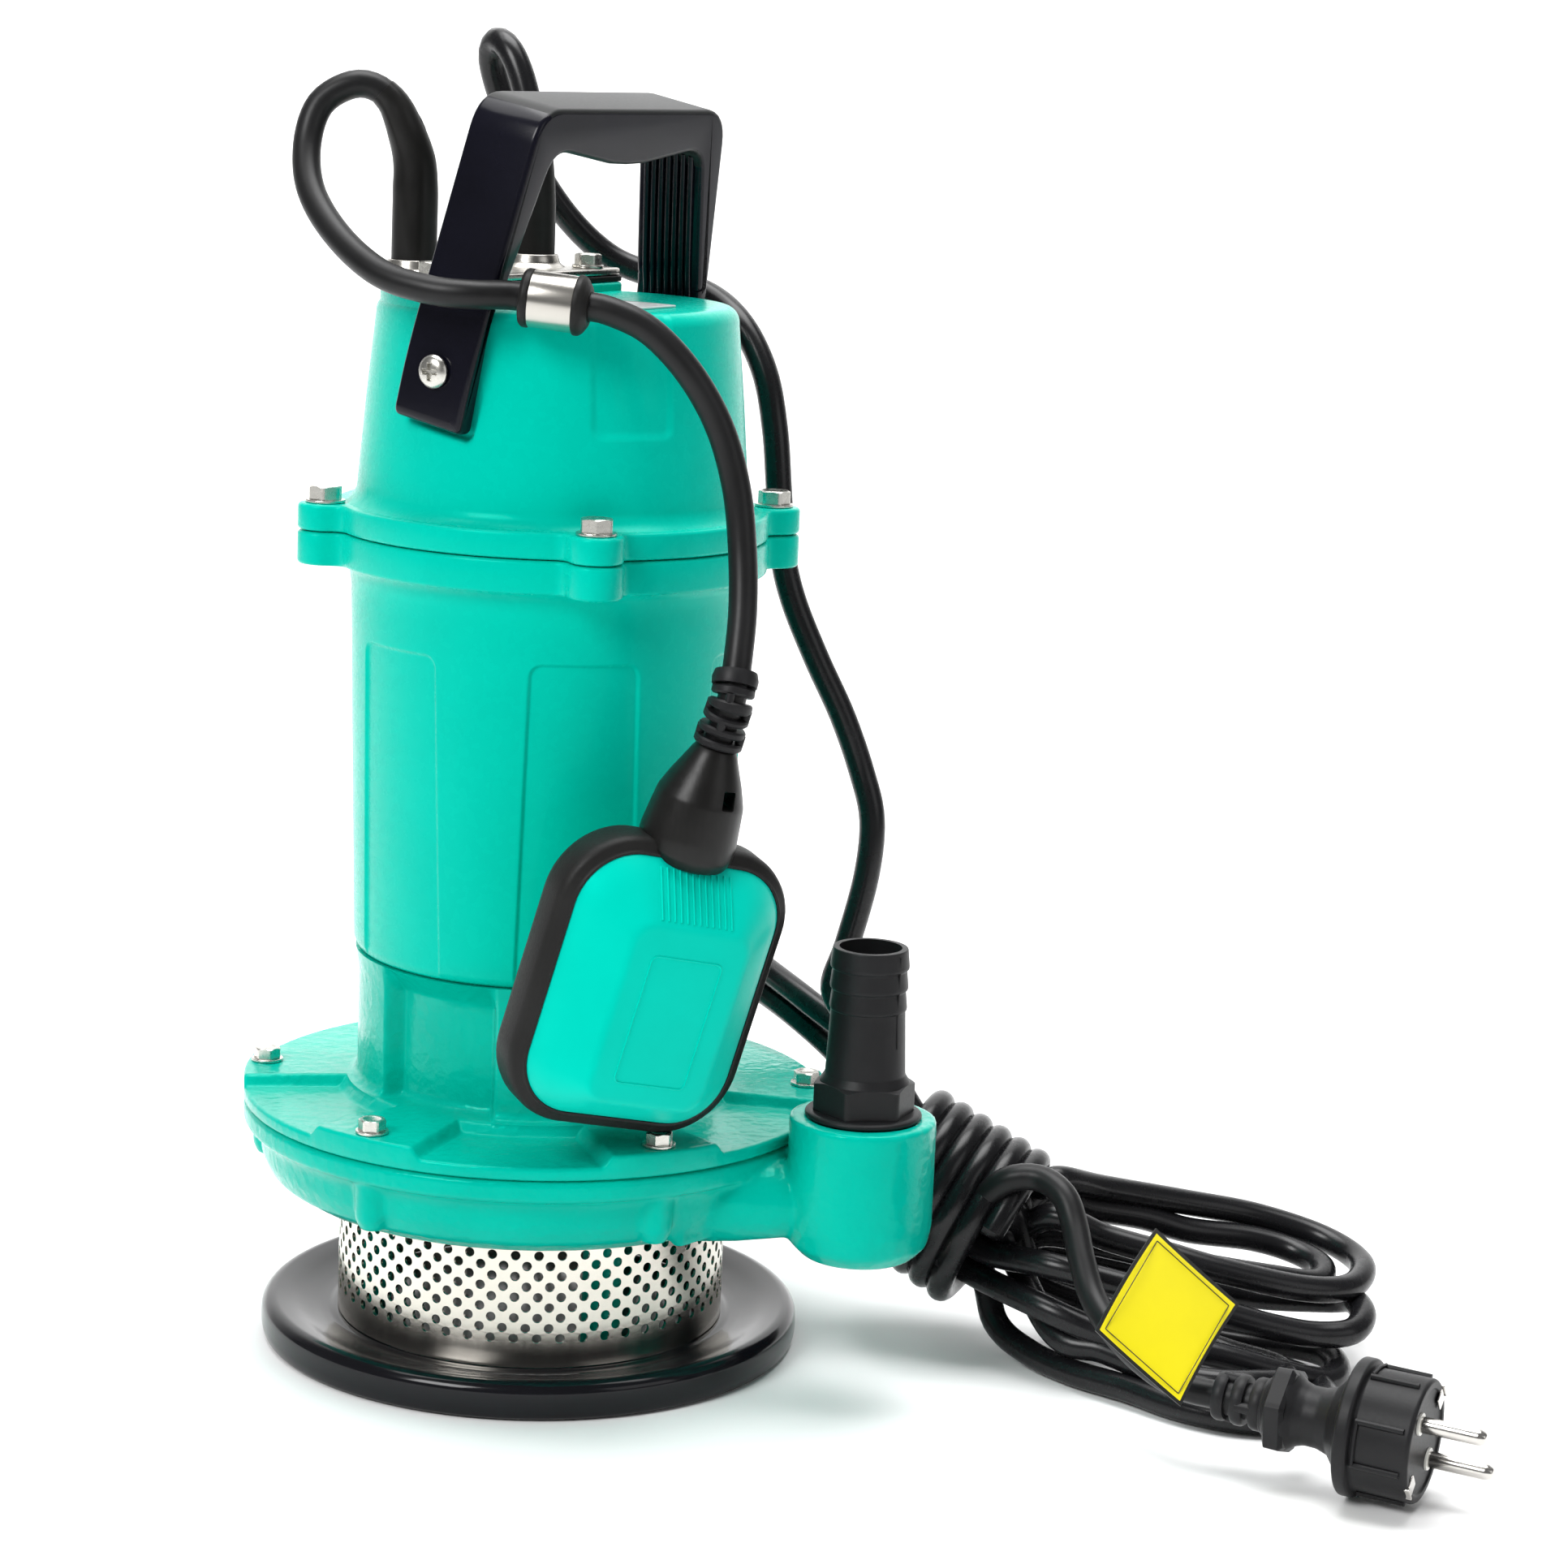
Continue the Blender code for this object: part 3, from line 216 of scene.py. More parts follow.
def look(name, colour, roughness, tone, grain=0.0, grain_scale=600.0, wear=0.05, metallic=0.0,
         coat=0.0, stretch=(1.0, 1.0, 1.0), speck=0.0, specular=0.5, tint=(1.0, 1.0, 1.0)):
    """A finish: a base colour with slow tone changes, uneven gloss and a fine surface grain.

    tone and wear are the depth of the colour and roughness changes, grain is the bump's
    strength, stretch draws the grain out along an axis, speck adds small pits, and specular
    and tint set the strength and colour of the reflections.
    """
    made = bpy.data.materials.new(name)
    made.use_nodes = True
    nodes = made.node_tree.nodes
    links = made.node_tree.links
    surface = set_inputs(nodes["Principled BSDF"], Metallic=metallic, Coat_Weight=coat,
                         Coat_Roughness=0.08, Specular_IOR_Level=specular,
                         Specular_Tint=(*tint, 1.0))
    place = nodes.new("ShaderNodeTexCoord").outputs["Object"]

    slow = set_inputs(nodes.new("ShaderNodeTexNoise"), Scale=40.0, Detail=4.0)
    links.new(place, slow.inputs["Vector"])
    ramp = nodes.new("ShaderNodeValToRGB")
    for stop, position, change in zip(ramp.color_ramp.elements, (0.3, 0.7), (-tone, tone)):
        stop.position = position
        stop.color = (*[min(1.0, value * (1.0 + change)) for value in colour], 1.0)
    links.new(slow.outputs["Fac"], ramp.inputs["Fac"])
    links.new(ramp.outputs["Color"], surface.inputs["Base Color"])

    drawn = set_inputs(nodes.new("ShaderNodeMapping"), Scale=stretch)
    links.new(place, drawn.inputs["Vector"])
    fine = set_inputs(nodes.new("ShaderNodeTexNoise"), Scale=grain_scale, Detail=3.0)
    links.new(drawn.outputs["Vector"], fine.inputs["Vector"])
    gloss = set_inputs(nodes.new("ShaderNodeMapRange"), To_Min=max(0.02, roughness - wear),
                       To_Max=roughness + wear)
    links.new(fine.outputs["Fac"], gloss.inputs["Value"])
    links.new(gloss.outputs["Result"], surface.inputs["Roughness"])
    height = fine.outputs["Fac"]
    if speck:
        cells = set_inputs(nodes.new("ShaderNodeTexVoronoi"), Scale=grain_scale * 0.6)
        links.new(place, cells.inputs["Vector"])
        pits = nodes.new("ShaderNodeMath")
        pits.operation = "MULTIPLY_ADD"
        pits.inputs[1].default_value = speck
        links.new(cells.outputs["Distance"], pits.inputs[0])
        links.new(fine.outputs["Fac"], pits.inputs[2])
        height = pits.outputs["Value"]
    if grain:
        bump = set_inputs(nodes.new("ShaderNodeBump"), Strength=grain, Distance=0.0004)
        links.new(height, bump.inputs["Height"])
        links.new(bump.outputs["Normal"], surface.inputs["Normal"])
    return made


GREEN = (0.0, 0.485, 0.37)
GREEN_SHEEN = (0.0, 1.0, 0.8)
# Material, colour, roughness, tone, grain and grain scale, then what else differs
LOOKS = {
    "enamel": look("green_enamel", GREEN, 0.27, 0.03, 0.04, 260, coat=0.02, specular=0.22,
                   tint=GREEN_SHEEN),
    "casting": look("green_casting", (0.0, 0.43, 0.33), 0.22, 0.06, 0.6, 420, coat=0.06, speck=0.8,
                    specular=0.28, tint=GREEN_SHEEN),
    "float_green": look("green_plastic", (0.0, 0.55, 0.43), 0.38, 0.03, 0.05, 900, specular=0.3,
                        tint=GREEN_SHEEN),
    "black_enamel": look("black_enamel", (0.005, 0.005, 0.007), 0.16, 0.15, 0.01, 180, coat=0.12,
                         wear=0.04, specular=0.22),
    "gloss_black": look("gloss_black_plastic", (0.004, 0.004, 0.008), 0.2, 0.2, 0.01, 700,
                        coat=0.08, wear=0.02, specular=0.16),
    "bar_black": look("grip_black_plastic", (0.012, 0.013, 0.013), 0.4, 0.15, 0.02, 900, wear=0.03,
                      specular=0.16),
    "matte_black": look("matte_black_plastic", (0.011, 0.011, 0.012), 0.43, 0.2, 0.06, 1100,
                        wear=0.05, specular=0.2),
    "rubber": look("black_rubber", (0.009, 0.0088, 0.0085), 0.48, 0.25, 0.12, 1300, wear=0.1,
                   specular=0.2),
    "boot": look("boot_rubber", (0.008, 0.0077, 0.0074), 0.34, 0.3, 0.06, 800, wear=0.08,
                 stretch=(1.0, 1.0, 0.25), specular=0.25),
    "cable": look("cable_sheath", (0.009, 0.009, 0.0095), 0.38, 0.2, 0.02, 700, wear=0.05,
                  specular=0.22),
    "gloss_cable": look("coiled_cable_sheath", (0.007, 0.007, 0.008), 0.27, 0.2, 0.0, 300,
                        wear=0.03, specular=0.3),
    "screen": look("stainless_screen", (0.72, 0.68, 0.61), 0.24, 0.05, 0.03, 300, metallic=1.0,
                   stretch=(1.0, 1.0, 0.08)),
    "stainless": look("stainless_sheet", (0.55, 0.53, 0.49), 0.28, 0.06, 0.04, 500, metallic=1.0,
                      stretch=(0.1, 1.0, 1.0)),
    "ferrule": look("polished_ferrule", (0.52, 0.5, 0.46), 0.24, 0.06, 0.03, 600, metallic=1.0,
                    stretch=(0.15, 1.0, 1.0)),
    "zinc": look("zinc_plating", (0.58, 0.57, 0.53), 0.28, 0.1, 0.03, 700, metallic=1.0, wear=0.1),
    "nickel": look("nickel_plating", (0.62, 0.6, 0.57), 0.2, 0.04, 0.01, 500, metallic=1.0),
    "steel": look("machined_steel", (0.55, 0.55, 0.56), 0.3, 0.06, 0.15, 900, metallic=1.0,
                  stretch=(0.2, 0.2, 1.0)),
    "lamination": look("stacked_laminations", (0.3, 0.3, 0.32), 0.45, 0.15, 0.5, 900, metallic=1.0,
                       stretch=(0.02, 0.02, 1.0)),
    "copper": look("varnished_copper", (0.72, 0.3, 0.12), 0.35, 0.2, 0.6, 700, metallic=1.0,
                   stretch=(1.0, 1.0, 0.2)),
    "ceramic": look("seal_ceramic", (0.78, 0.77, 0.72), 0.25, 0.04, 0.05),
    "plate": look("blank_foil_plate", (0.62, 0.66, 0.66), 0.35, 0.05, 0.06, metallic=0.4),
    "yellow": look("yellow_tag", (0.93, 0.8, 0.0), 0.42, 0.03, 0.08, 300),
    "tag_border": look("black_tag_border", (0.01, 0.01, 0.01), 0.45, 0.1, 0.05),
}


# ---------------------------------------------------------------- forms
# A form is a pair (vertices, faces): an array of points in millimetres, and lists of indices.

def polar(radius, azimuth):
    """A point at height 0, at an azimuth in degrees from the front towards +X."""
    angle = math.radians(azimuth)
    return Vector((radius * math.sin(angle), -radius * math.cos(angle), 0.0))


def ring_of(reach, angles, height):
    """A ring of points about Z at the angles, in radians. reach and height may be arrays."""
    return np.column_stack([reach * np.sin(angles), -reach * np.cos(angles),
                            np.broadcast_to(height, len(angles))])


def level(outline, height):
    """An (x, y) outline as points at a height, which may be an array."""
    return np.column_stack([outline, np.broadcast_to(height, len(outline))])


def closed(points):
    """A loop of points with its first point again at its end."""
    return np.concatenate([points, points[:1]])


def unit(vector):
    """The vector at length 1."""
    return np.array(vector) / np.linalg.norm(vector)


def rotation(degrees, axis="Z"):
    """A turn about an axis through the origin."""
    return Matrix.Rotation(math.radians(degrees), 4, axis)


def axes_at(origin, x_axis, y_axis, z_axis):
    """A matrix with its three axes at an origin."""
    turn = Matrix((x_axis, y_axis, z_axis)).transposed().to_4x4()
    return Matrix.Translation(Vector(origin)) @ turn


def frame_at(point, z_axis=(0.0, 0.0, 1.0)):
    """A matrix whose origin is the point, in millimetres, and whose Z is z_axis."""
    z_axis = Vector(z_axis).normalized()
    hint = Vector((0.0, 0.0, 1.0)) if abs(z_axis.z) < 0.7 else Vector((1.0, 0.0, 0.0))
    y_axis = z_axis.cross(hint).normalized()
    return axes_at(point, y_axis.cross(z_axis), y_axis, z_axis)


def over(spot):
    """An upright matrix at height 0, under or over a place."""
    return Matrix.Translation((spot[0], spot[1], 0.0))


def moved(form, place):
    """The form taken through a matrix."""
    points, faces = form
    matrix = np.array(place)
    return points @ matrix[:3, :3].T + matrix[:3, 3], faces


def merged(*forms):
    """Several forms as one."""
    points = []
    faces = []
    count = 0
    for form_points, form_faces in forms:
        points.append(np.asarray(form_points, dtype=float))
        faces += [tuple(index + count for index in face) for face in form_faces]
        count += len(form_points)
    return np.concatenate(points), faces


def lofted(rings, start_cap=True, end_cap=True):
    """A skin over rings of equal counts, each ring a closed loop."""
    rings = [np.asarray(ring, dtype=float) for ring in rings]
    count = len(rings[0])
    faces = []
    for row in range(len(rings) - 1):
        for index in range(count):
            after = (index + 1) % count
            faces.append((row * count + index, row * count + after,
                          (row + 1) * count + after, (row + 1) * count + index))
    if start_cap:
        faces.append(tuple(reversed(range(count))))
    if end_cap:
        faces.append(tuple(range((len(rings) - 1) * count, len(rings) * count)))
    return np.concatenate(rings), faces


def bend(start, corner, end, steps):
    """Points from start to end along an arc-like curve that leans towards the corner."""
    shares = [step / steps for step in range(steps + 1)]
    return [start * (1 - t) ** 2 + corner * 2 * t * (1 - t) + end * t * t for t in shares]


def filleted(profile, radius):
    """The (radius, height) profile with each corner rounded."""
    points = [Vector(point) for point in profile]
    made = [points[0]]
    for before, corner, after in zip(points, points[1:], points[2:]):
        reach = min(radius, (before - corner).length * 0.45, (after - corner).length * 0.45)
        start = corner + (before - corner).normalized() * reach
        end = corner + (after - corner).normalized() * reach
        made += bend(start, corner, end, 4)
    made.append(points[-1])
    return [(point.x, point.y) for point in made]


def filleted_loop(points, radii, steps=6):
    """A closed outline whose corners are rounded, each by its own radius."""
    made = []
    longest = 0.9 if len(points) > 20 else 0.5
    for index, (corner, radius) in enumerate(zip(points, radii)):
        if radius == 0.0:
            made.append(tuple(corner))
            continue
        before = points[index - 1] - corner
        after = points[(index + 1) % len(points)] - corner
        start = corner + before.normalized() * min(radius, before.length * longest)
        end = corner + after.normalized() * min(radius, after.length * longest)
        made += [tuple(point) for point in bend(start, corner, end, steps)]
    return np.array(made)


def turned(profile, segments, fillet=0.0):
    """A turned form from (radius, height) points. Where the radius is 0 it closes on the axis."""
    if fillet:
        profile = filleted(profile, fillet)
    angles = np.linspace(0.0, 2 * math.pi, segments, endpoint=False)
    circle = np.column_stack([np.cos(angles), np.sin(angles)])
    rings = [level(circle * max(radius, 0.001), height) for radius, height in profile]
    on_axis = profile[0][0] == 0 and profile[-1][0] == 0
    if not on_axis:
        rings.append(rings[0])
    return lofted(rings, on_axis, on_axis)


def curve_through(points, spacing):
    """Points at about one spacing along a smooth Catmull-Rom curve through the given points."""
    points = [np.asarray(point, dtype=float) for point in points]
    padded = [2 * points[0] - points[1], *points, 2 * points[-1] - points[-2]]
    path = []
    for before, start, end, after in zip(padded, padded[1:], padded[2:], padded[3:]):
        steps = max(1, round(float(np.linalg.norm(end - start)) / spacing))
        for step in range(steps):
            t = step / steps
            bend = (2 * before - 5 * start + 4 * end - after) * t * t
            twist = (3 * start - before - 3 * end + after) * t**3
            path.append((2 * start + (end - before) * t + bend + twist) / 2)
    path.append(points[-1])
    return np.array(path)


def path_frames(path):
    """Unit side vectors (u, v) along a path, turned as little as possible."""
    tangents = np.gradient(path, axis=0)
    tangents /= np.linalg.norm(tangents, axis=1)[:, None]
    first = np.cross(tangents[0], (0.0, 0.0, 1.0))
    if np.linalg.norm(first) < 0.1:
        first = np.cross(tangents[0], (0.0, 1.0, 0.0))
    side = first / np.linalg.norm(first)
    sides = []
    for tangent in tangents:
        side = side - tangent * np.dot(side, tangent)
        side = side / np.linalg.norm(side)
        sides.append(side)
    sides = np.array(sides)
    return sides, np.cross(tangents, sides)


def swept(path, radius, sides=20):
    """A round rod along a path. radius is one number, or one for each point."""
    path = np.asarray(path, dtype=float)
    u, v = path_frames(path)
    radii = np.broadcast_to(np.asarray(radius, dtype=float), len(path))
    angles = np.linspace(0.0, 2 * math.pi, sides, endpoint=False)
    return lofted([centre + reach * (np.outer(np.cos(angles), across) + np.outer(np.sin(angles), up))
                   for centre, across, up, reach in zip(path, u, v, radii)])


def inset(points, distance):
    """A closed (x, y) outline moved inwards. The outline runs anticlockwise."""
    points = np.asarray(points, dtype=float)
    ahead = np.roll(points, -1, axis=0) - points
    behind = points - np.roll(points, 1, axis=0)
    normals = []
    for edge in (ahead, behind):
        length = np.maximum(np.linalg.norm(edge, axis=1), 1e-9)[:, None]
        normals.append(np.column_stack([-edge[:, 1], edge[:, 0]]) / length)
    normal = normals[0] + normals[1]
    normal /= np.maximum(np.linalg.norm(normal, axis=1), 1e-9)[:, None]
    spread = np.clip(np.sum(normal * normals[0], axis=1), 0.4, 1.0)
    return points + normal * (distance / spread)[:, None]


def slab(outline, bottom, top, edge, steps=4):
    """A flat outline between two heights, with rounded top and bottom edges."""
    turns = [math.pi / 2 * step / steps for step in range(steps + 1)]
    rings = [level(inset(outline, edge * (1 - math.sin(turn))), bottom + edge * (1 - math.cos(turn)))
             for turn in turns]
    rings += [level(inset(outline, edge * (1 - math.cos(turn))), top - edge * (1 - math.sin(turn)))
              for turn in turns]
    return lofted(rings)


def rounded_rectangle(half_x, half_y, corner, per_corner):
    """The points of a rounded rectangle about the origin, anticlockwise."""
    points = []
    for index, (sign_x, sign_y) in enumerate(((1, 1), (-1, 1), (-1, -1), (1, -1))):
        for step in range(per_corner):
            angle = math.radians(90 * index + 90 * step / (per_corner - 1))
            points.append((sign_x * (half_x - corner) + corner * math.cos(angle),
                           sign_y * (half_y - corner) + corner * math.sin(angle)))
    return np.array(points)


def smooth_step(value, start, end):
    """0 before start and 1 after end, with a smooth rise between them."""
    t = np.clip((value - start) / (end - start), 0.0, 1.0)
    return t * t * (3 - 2 * t)


def turn_between(azimuth, centre):
    """The signed angle in degrees from a centre azimuth, within half a turn."""
    return (azimuth - centre + 180.0) % 360.0 - 180.0


def from_lug(azimuths):
    """How far each azimuth is from the nearest lug's, in degrees."""
    return np.min([np.abs(turn_between(azimuths, centre)) for centre in LUG_AZIMUTHS], axis=0)


def corner_depth(across, along, corner):
    """A signed distance to a round corner, negative inside, measured from its arc's centre."""
    distance = np.hypot(np.maximum(across, 0.0), np.maximum(along, 0.0)) - corner
    return distance + np.minimum(np.maximum(across, along), 0.0)


def linked(name, data):
    """A new object in the scene, with the data."""
    made = bpy.data.objects.new(name, data)
    bpy.context.scene.collection.objects.link(made)
    return made


def outward(mesh, gap=0.000002, tube=False):
    """Joins a mesh's points within the gap, in metres, and turns its faces outwards.

    A tube's faces are turned away from the upright axis.
    """
    shape = bmesh.new()
    shape.from_mesh(mesh)
    bmesh.ops.remove_doubles(shape, verts=shape.verts, dist=gap)
    bmesh.ops.recalc_face_normals(shape, faces=shape.faces)
    first = next(iter(shape.faces))
    if tube and first.normal.xy.dot(first.calc_center_median().xy) < 0:
        bmesh.ops.reverse_faces(shape, faces=shape.faces)
    shape.to_mesh(mesh)
    shape.free()


def mesh_of(name, form):
    """A form as a mesh in metres."""
    points, faces = form
    mesh = bpy.data.meshes.new(name)
    mesh.from_pydata((np.asarray(points) * MM).tolist(), [], faces)
    outward(mesh)
    return mesh


def baked(source):
    """The mesh of an object with its modifiers applied."""
    graph = bpy.context.evaluated_depsgraph_get()
    return bpy.data.meshes.new_from_object(source.evaluated_get(graph))


def apply_modifiers(made, crease):
    """Gives an object its baked mesh, with the edges above the crease angle sharp again."""
    made.data = baked(made)
    made.data.set_sharp_from_angle(angle=math.radians(crease))
    made.modifiers.clear()


def fused(forms, voxel, smoothing):
    """Overlapping closed forms as one skin with soft inner corners, as a casting has."""
    source = linked("casting_source", mesh_of("casting_source", merged(*forms)))
    remesh = source.modifiers.new("voxels", "REMESH")
    remesh.mode = "VOXEL"
    remesh.voxel_size = voxel * MM
    smooth = source.modifiers.new("fillets", "SMOOTH")
    smooth.factor = 0.5
    smooth.iterations = smoothing
    made = baked(source)
    bpy.data.objects.remove(source, do_unlink=True)
    return made


def piece(name, form, finish, body="pump", replaces=(), crease=32.0):
    """A finished piece that rides on a body and stands for some of the frame's nodes."""
    if isinstance(form, bpy.types.Mesh):
        mesh = form
        mesh.name = name
    else:
        mesh = mesh_of(name, form)
    mesh.materials.clear()
    mesh.materials.append(LOOKS[finish])
    mesh.shade_smooth()
    mesh.set_sharp_from_angle(angle=math.radians(crease))
    made = linked(name, mesh)
    if body is not None:
        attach(made, body)
    if replaces:
        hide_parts(*replaces)
    return made


# ---------------------------------------------------------------- base, strainer, pump end

def base_plate():
    """The dished base plate: a gloss black disc with a raised rim."""
    rim = [(80.5, 12.0), (82.6, 11.4), (84.3, 9.6), (BASE_RADIUS, 6.8), (BASE_RADIUS - 0.1, 3.2),
           (83.8, 0.8), (82.0, 0.0)]
    profile = [(0.0, 8.2), (61.6, 8.2), (63.2, 7.7), (66.0, 8.0), (71.0, 9.2), (76.0, 11.0), *rim,
               (0.0, 0.0)]
    piece("base_plate_disc", turned(profile, 160, 2.4), "black_enamel", replaces=["base_plate"])


def hole_cell(column, row):
    """One cell of the screen: its rim and its hole as (arc length, height) point pairs."""
    pitch = 2 * math.pi * SCREEN_RADIUS / HOLES_PER_ROW
    half_width = pitch / 2
    half_height = HOLE_ROW_STEP / 2
    centre = np.array([pitch * (column + 0.5 * (row % 2)), LOWEST_HOLE_ROW + HOLE_ROW_STEP * row])
    across = [(x / 4, 1.0) for x in range(4, -4, -1)]
    down = [(-1.0, y / 2) for y in range(2, -2, -1)]
    rim = across + down + [(-x, -y) for x, y in across] + [(-x, -y) for x, y in down]
    outer = []
    hole = []
    for x, y in rim:
        angle = math.atan2(y, x)
        outer.append(centre + (x * half_width, y * half_height))
        hole.append(centre + (HOLE_RADIUS * math.cos(angle), HOLE_RADIUS * math.sin(angle)))
    return outer, hole


def strainer_screen():
    """The rolled stainless strainer with its staggered rows of punched holes."""
    sheet = []
    faces = []
    for row in range(HOLE_ROWS):
        for column in range(HOLES_PER_ROW):
            outer, hole = hole_cell(column, row)
            start = len(sheet)
            count = len(outer)
            sheet += outer + hole
            for index in range(count):
                after = (index + 1) % count
                faces.append((start + index, start + after, start + count + after,
                              start + count + index))
    band_columns = HOLES_PER_ROW * 8
    lowest = LOWEST_HOLE_ROW - HOLE_ROW_STEP / 2
    highest = LOWEST_HOLE_ROW + HOLE_ROW_STEP * (HOLE_ROWS - 0.5)
    around = 2 * math.pi * SCREEN_RADIUS
    for bottom, top in ((SCREEN_BOTTOM, lowest), (highest, SCREEN_TOP)):
        for column in range(band_columns):
            start = len(sheet)
            left = around * column / band_columns
            right = around * (column + 1) / band_columns
            sheet += [(left, bottom), (right, bottom), (right, top), (left, top)]
            faces.append((start, start + 1, start + 2, start + 3))
    sheet = np.array(sheet)
    points = ring_of(SCREEN_RADIUS, sheet[:, 0] / SCREEN_RADIUS, sheet[:, 1])
    made = piece("strainer_screen_sheet", (points, faces), "screen", replaces=["strainer_screen"])
    outward(made.data, 0.00002, tube=True)
    wall = made.modifiers.new("wall", "SOLIDIFY")
    wall.thickness = SCREEN_WALL * MM
    wall.offset = -1.0
    apply_modifiers(made, 32)


def volute_casing():
    """The volute with bolt bosses, posts, tangential duct and the upright outlet boss."""
    forms = [turned([
        (0.0, CASING_TOP), (FLANGE_RADIUS, CASING_TOP), (FLANGE_RADIUS, FLANGE_BOTTOM),
        (87.6, 69.0), (85.8, 66.0), (85.2, 60.0), (82.6, 54.5), (76.0, 50.4),
        (66.0, CASING_BOTTOM), (0.0, CASING_BOTTOM),
    ], 180, 1.5)]
    for azimuth in COVER_BOLT_AZIMUTHS:
        boss = turned([(0.0, CASING_BOSS_TOP), (5.8, CASING_BOSS_TOP), (5.3, 57.6), (3.8, 54.2),
                       (0.0, 53.4)], 32)
        forms.append(moved(boss, frame_at(polar(83.6, azimuth))))
    for azimuth in (30.0, 150.0, 270.0):
        post = turned([(0.0, 50.0), (POST_RADIUS, 50.0), (POST_RADIUS, 5.2), (0.0, 5.2)], 32)
        forms.append(moved(post, frame_at(polar(50.0, azimuth))))
    duct = [(50.0, OUTLET[1] + 2.0, 62.0), (66.0, OUTLET[1], 62.0), (82.0, OUTLET[1], DUCT_HEIGHT),
            (104.0, OUTLET[1], DUCT_HEIGHT)]
    forms.append(swept(duct, [15.0, 13.6, 11.2, 12.4], 40))
    web = slab(rounded_rectangle(9.0, 2.2, 1.5, 4), 50.5, CASING_BOSS_TOP, 1.0)
    forms.append(moved(web, frame_at(polar(80.0, 42.0)) @ rotation(50.0)))
    boss = turned([
        (0.0, 74.0), (16.2, 74.0), (16.2, OUTLET_TOP), (OUTLET_RADIUS, OUTLET_TOP),
        (OUTLET_RADIUS, 56.0), (21.0, 50.0), (17.0, 46.0), (10.0, 44.2), (0.0, OUTLET_BOTTOM),
    ], 96, 0.8)
    forms.append(moved(boss, over(OUTLET)))
    piece("volute_casting", fused(forms, 0.85, 7), "casting", replaces=["volute_casing"], crease=60)


def pump_cover():
    """The cover disc with sloped pockets between its bolt pads, and the neck with columns."""
    azimuths = np.linspace(0.0, 360.0, 1080, endpoint=False)
    offset = np.abs((azimuths + 30.0) % 60.0 - 30.0)
    column_edge = smooth_step(from_lug(azimuths), 22.6, 26.4)
    neck = NECK_RADIUS + (NECK_COLUMN_RADIUS - NECK_RADIUS) * (1 - column_edge)

    def top_at(radius):
        side = (POCKET_HALF_ANGLE - offset) * math.pi / 180 * radius
        depth = smooth_step(np.minimum(side, radius - POCKET_INNER_RADIUS), 0.0, POCKET_SLOPE)
        return COVER_TOP - (COVER_TOP - COVER_POCKET) * depth

    rows = [(80.0, CASING_TOP + 0.3), (FLANGE_RADIUS - 0.7, CASING_TOP + 0.3),
            (FLANGE_RADIUS, CASING_TOP + 1.0)]
    for turn in np.linspace(0.0, math.pi / 2, 5):
        rows.append((FLANGE_RADIUS - RIM_EDGE * (1 - math.cos(turn)),
                     top_at(FLANGE_RADIUS) - RIM_EDGE * (1 - math.sin(turn))))
    for radius in [*np.arange(89.5, 64.0, -1.3), *np.arange(63.5, 57.0, -0.6)]:
        reach = np.maximum(radius, neck + NECK_FILLET + 0.2)
        rows.append((reach, top_at(reach)))
    for turn in np.linspace(0.0, math.pi / 2, 7):
        rows.append((neck + NECK_FILLET * (1 - math.sin(turn)),
                     COVER_TOP + NECK_FILLET * (1 - math.cos(turn))))
    rows += [(neck, height) for height in (90.0, 96.0, 104.0, 112.0, NECK_FLARE_BOTTOM)]
    for share in (0.1, 0.3, 0.6, 1.0):
        rows.append((neck + (NECK_FLARE_RADIUS - neck) * share,
                     NECK_FLARE_BOTTOM + (NECK_TOP - NECK_FLARE_BOTTOM) * share ** 0.8))
    rows.append((46.0, NECK_TOP))
    angles = np.radians(azimuths)
    rings = [ring_of(radius, angles, height) for radius, height in rows]
    piece("pump_cover_casting", lofted(rings), "casting", replaces=["pump_cover"], crease=50)


# ---------------------------------------------------------------- motor

def flange_outline():
    """The mid flange seen from above: a circle with four lugs, joined by soft inner corners."""
    count = 1440
    azimuths = np.linspace(0.0, 360.0, count, endpoint=False)
    angle = np.radians(from_lug(azimuths))
    inner = np.full(count, 55.0)
    outer = np.full(count, 90.0)
    soft = 5.0
    for _ in range(26):
        radius = (inner + outer) / 2
        to_flange = radius - MID_FLANGE_RADIUS
        to_lug = np.hypot(radius * np.cos(angle) - LUG_CIRCLE, radius * np.sin(angle)) - LUG_RADIUS
        blend = np.maximum(soft - np.abs(to_flange - to_lug), 0.0)
        distance = np.minimum(to_flange, to_lug) - blend * blend / (4 * soft)
        inner = np.where(distance < 0, radius, inner)
        outer = np.where(distance < 0, outer, radius)
    return ring_of(outer, np.radians(azimuths), 0.0)[:, :2]


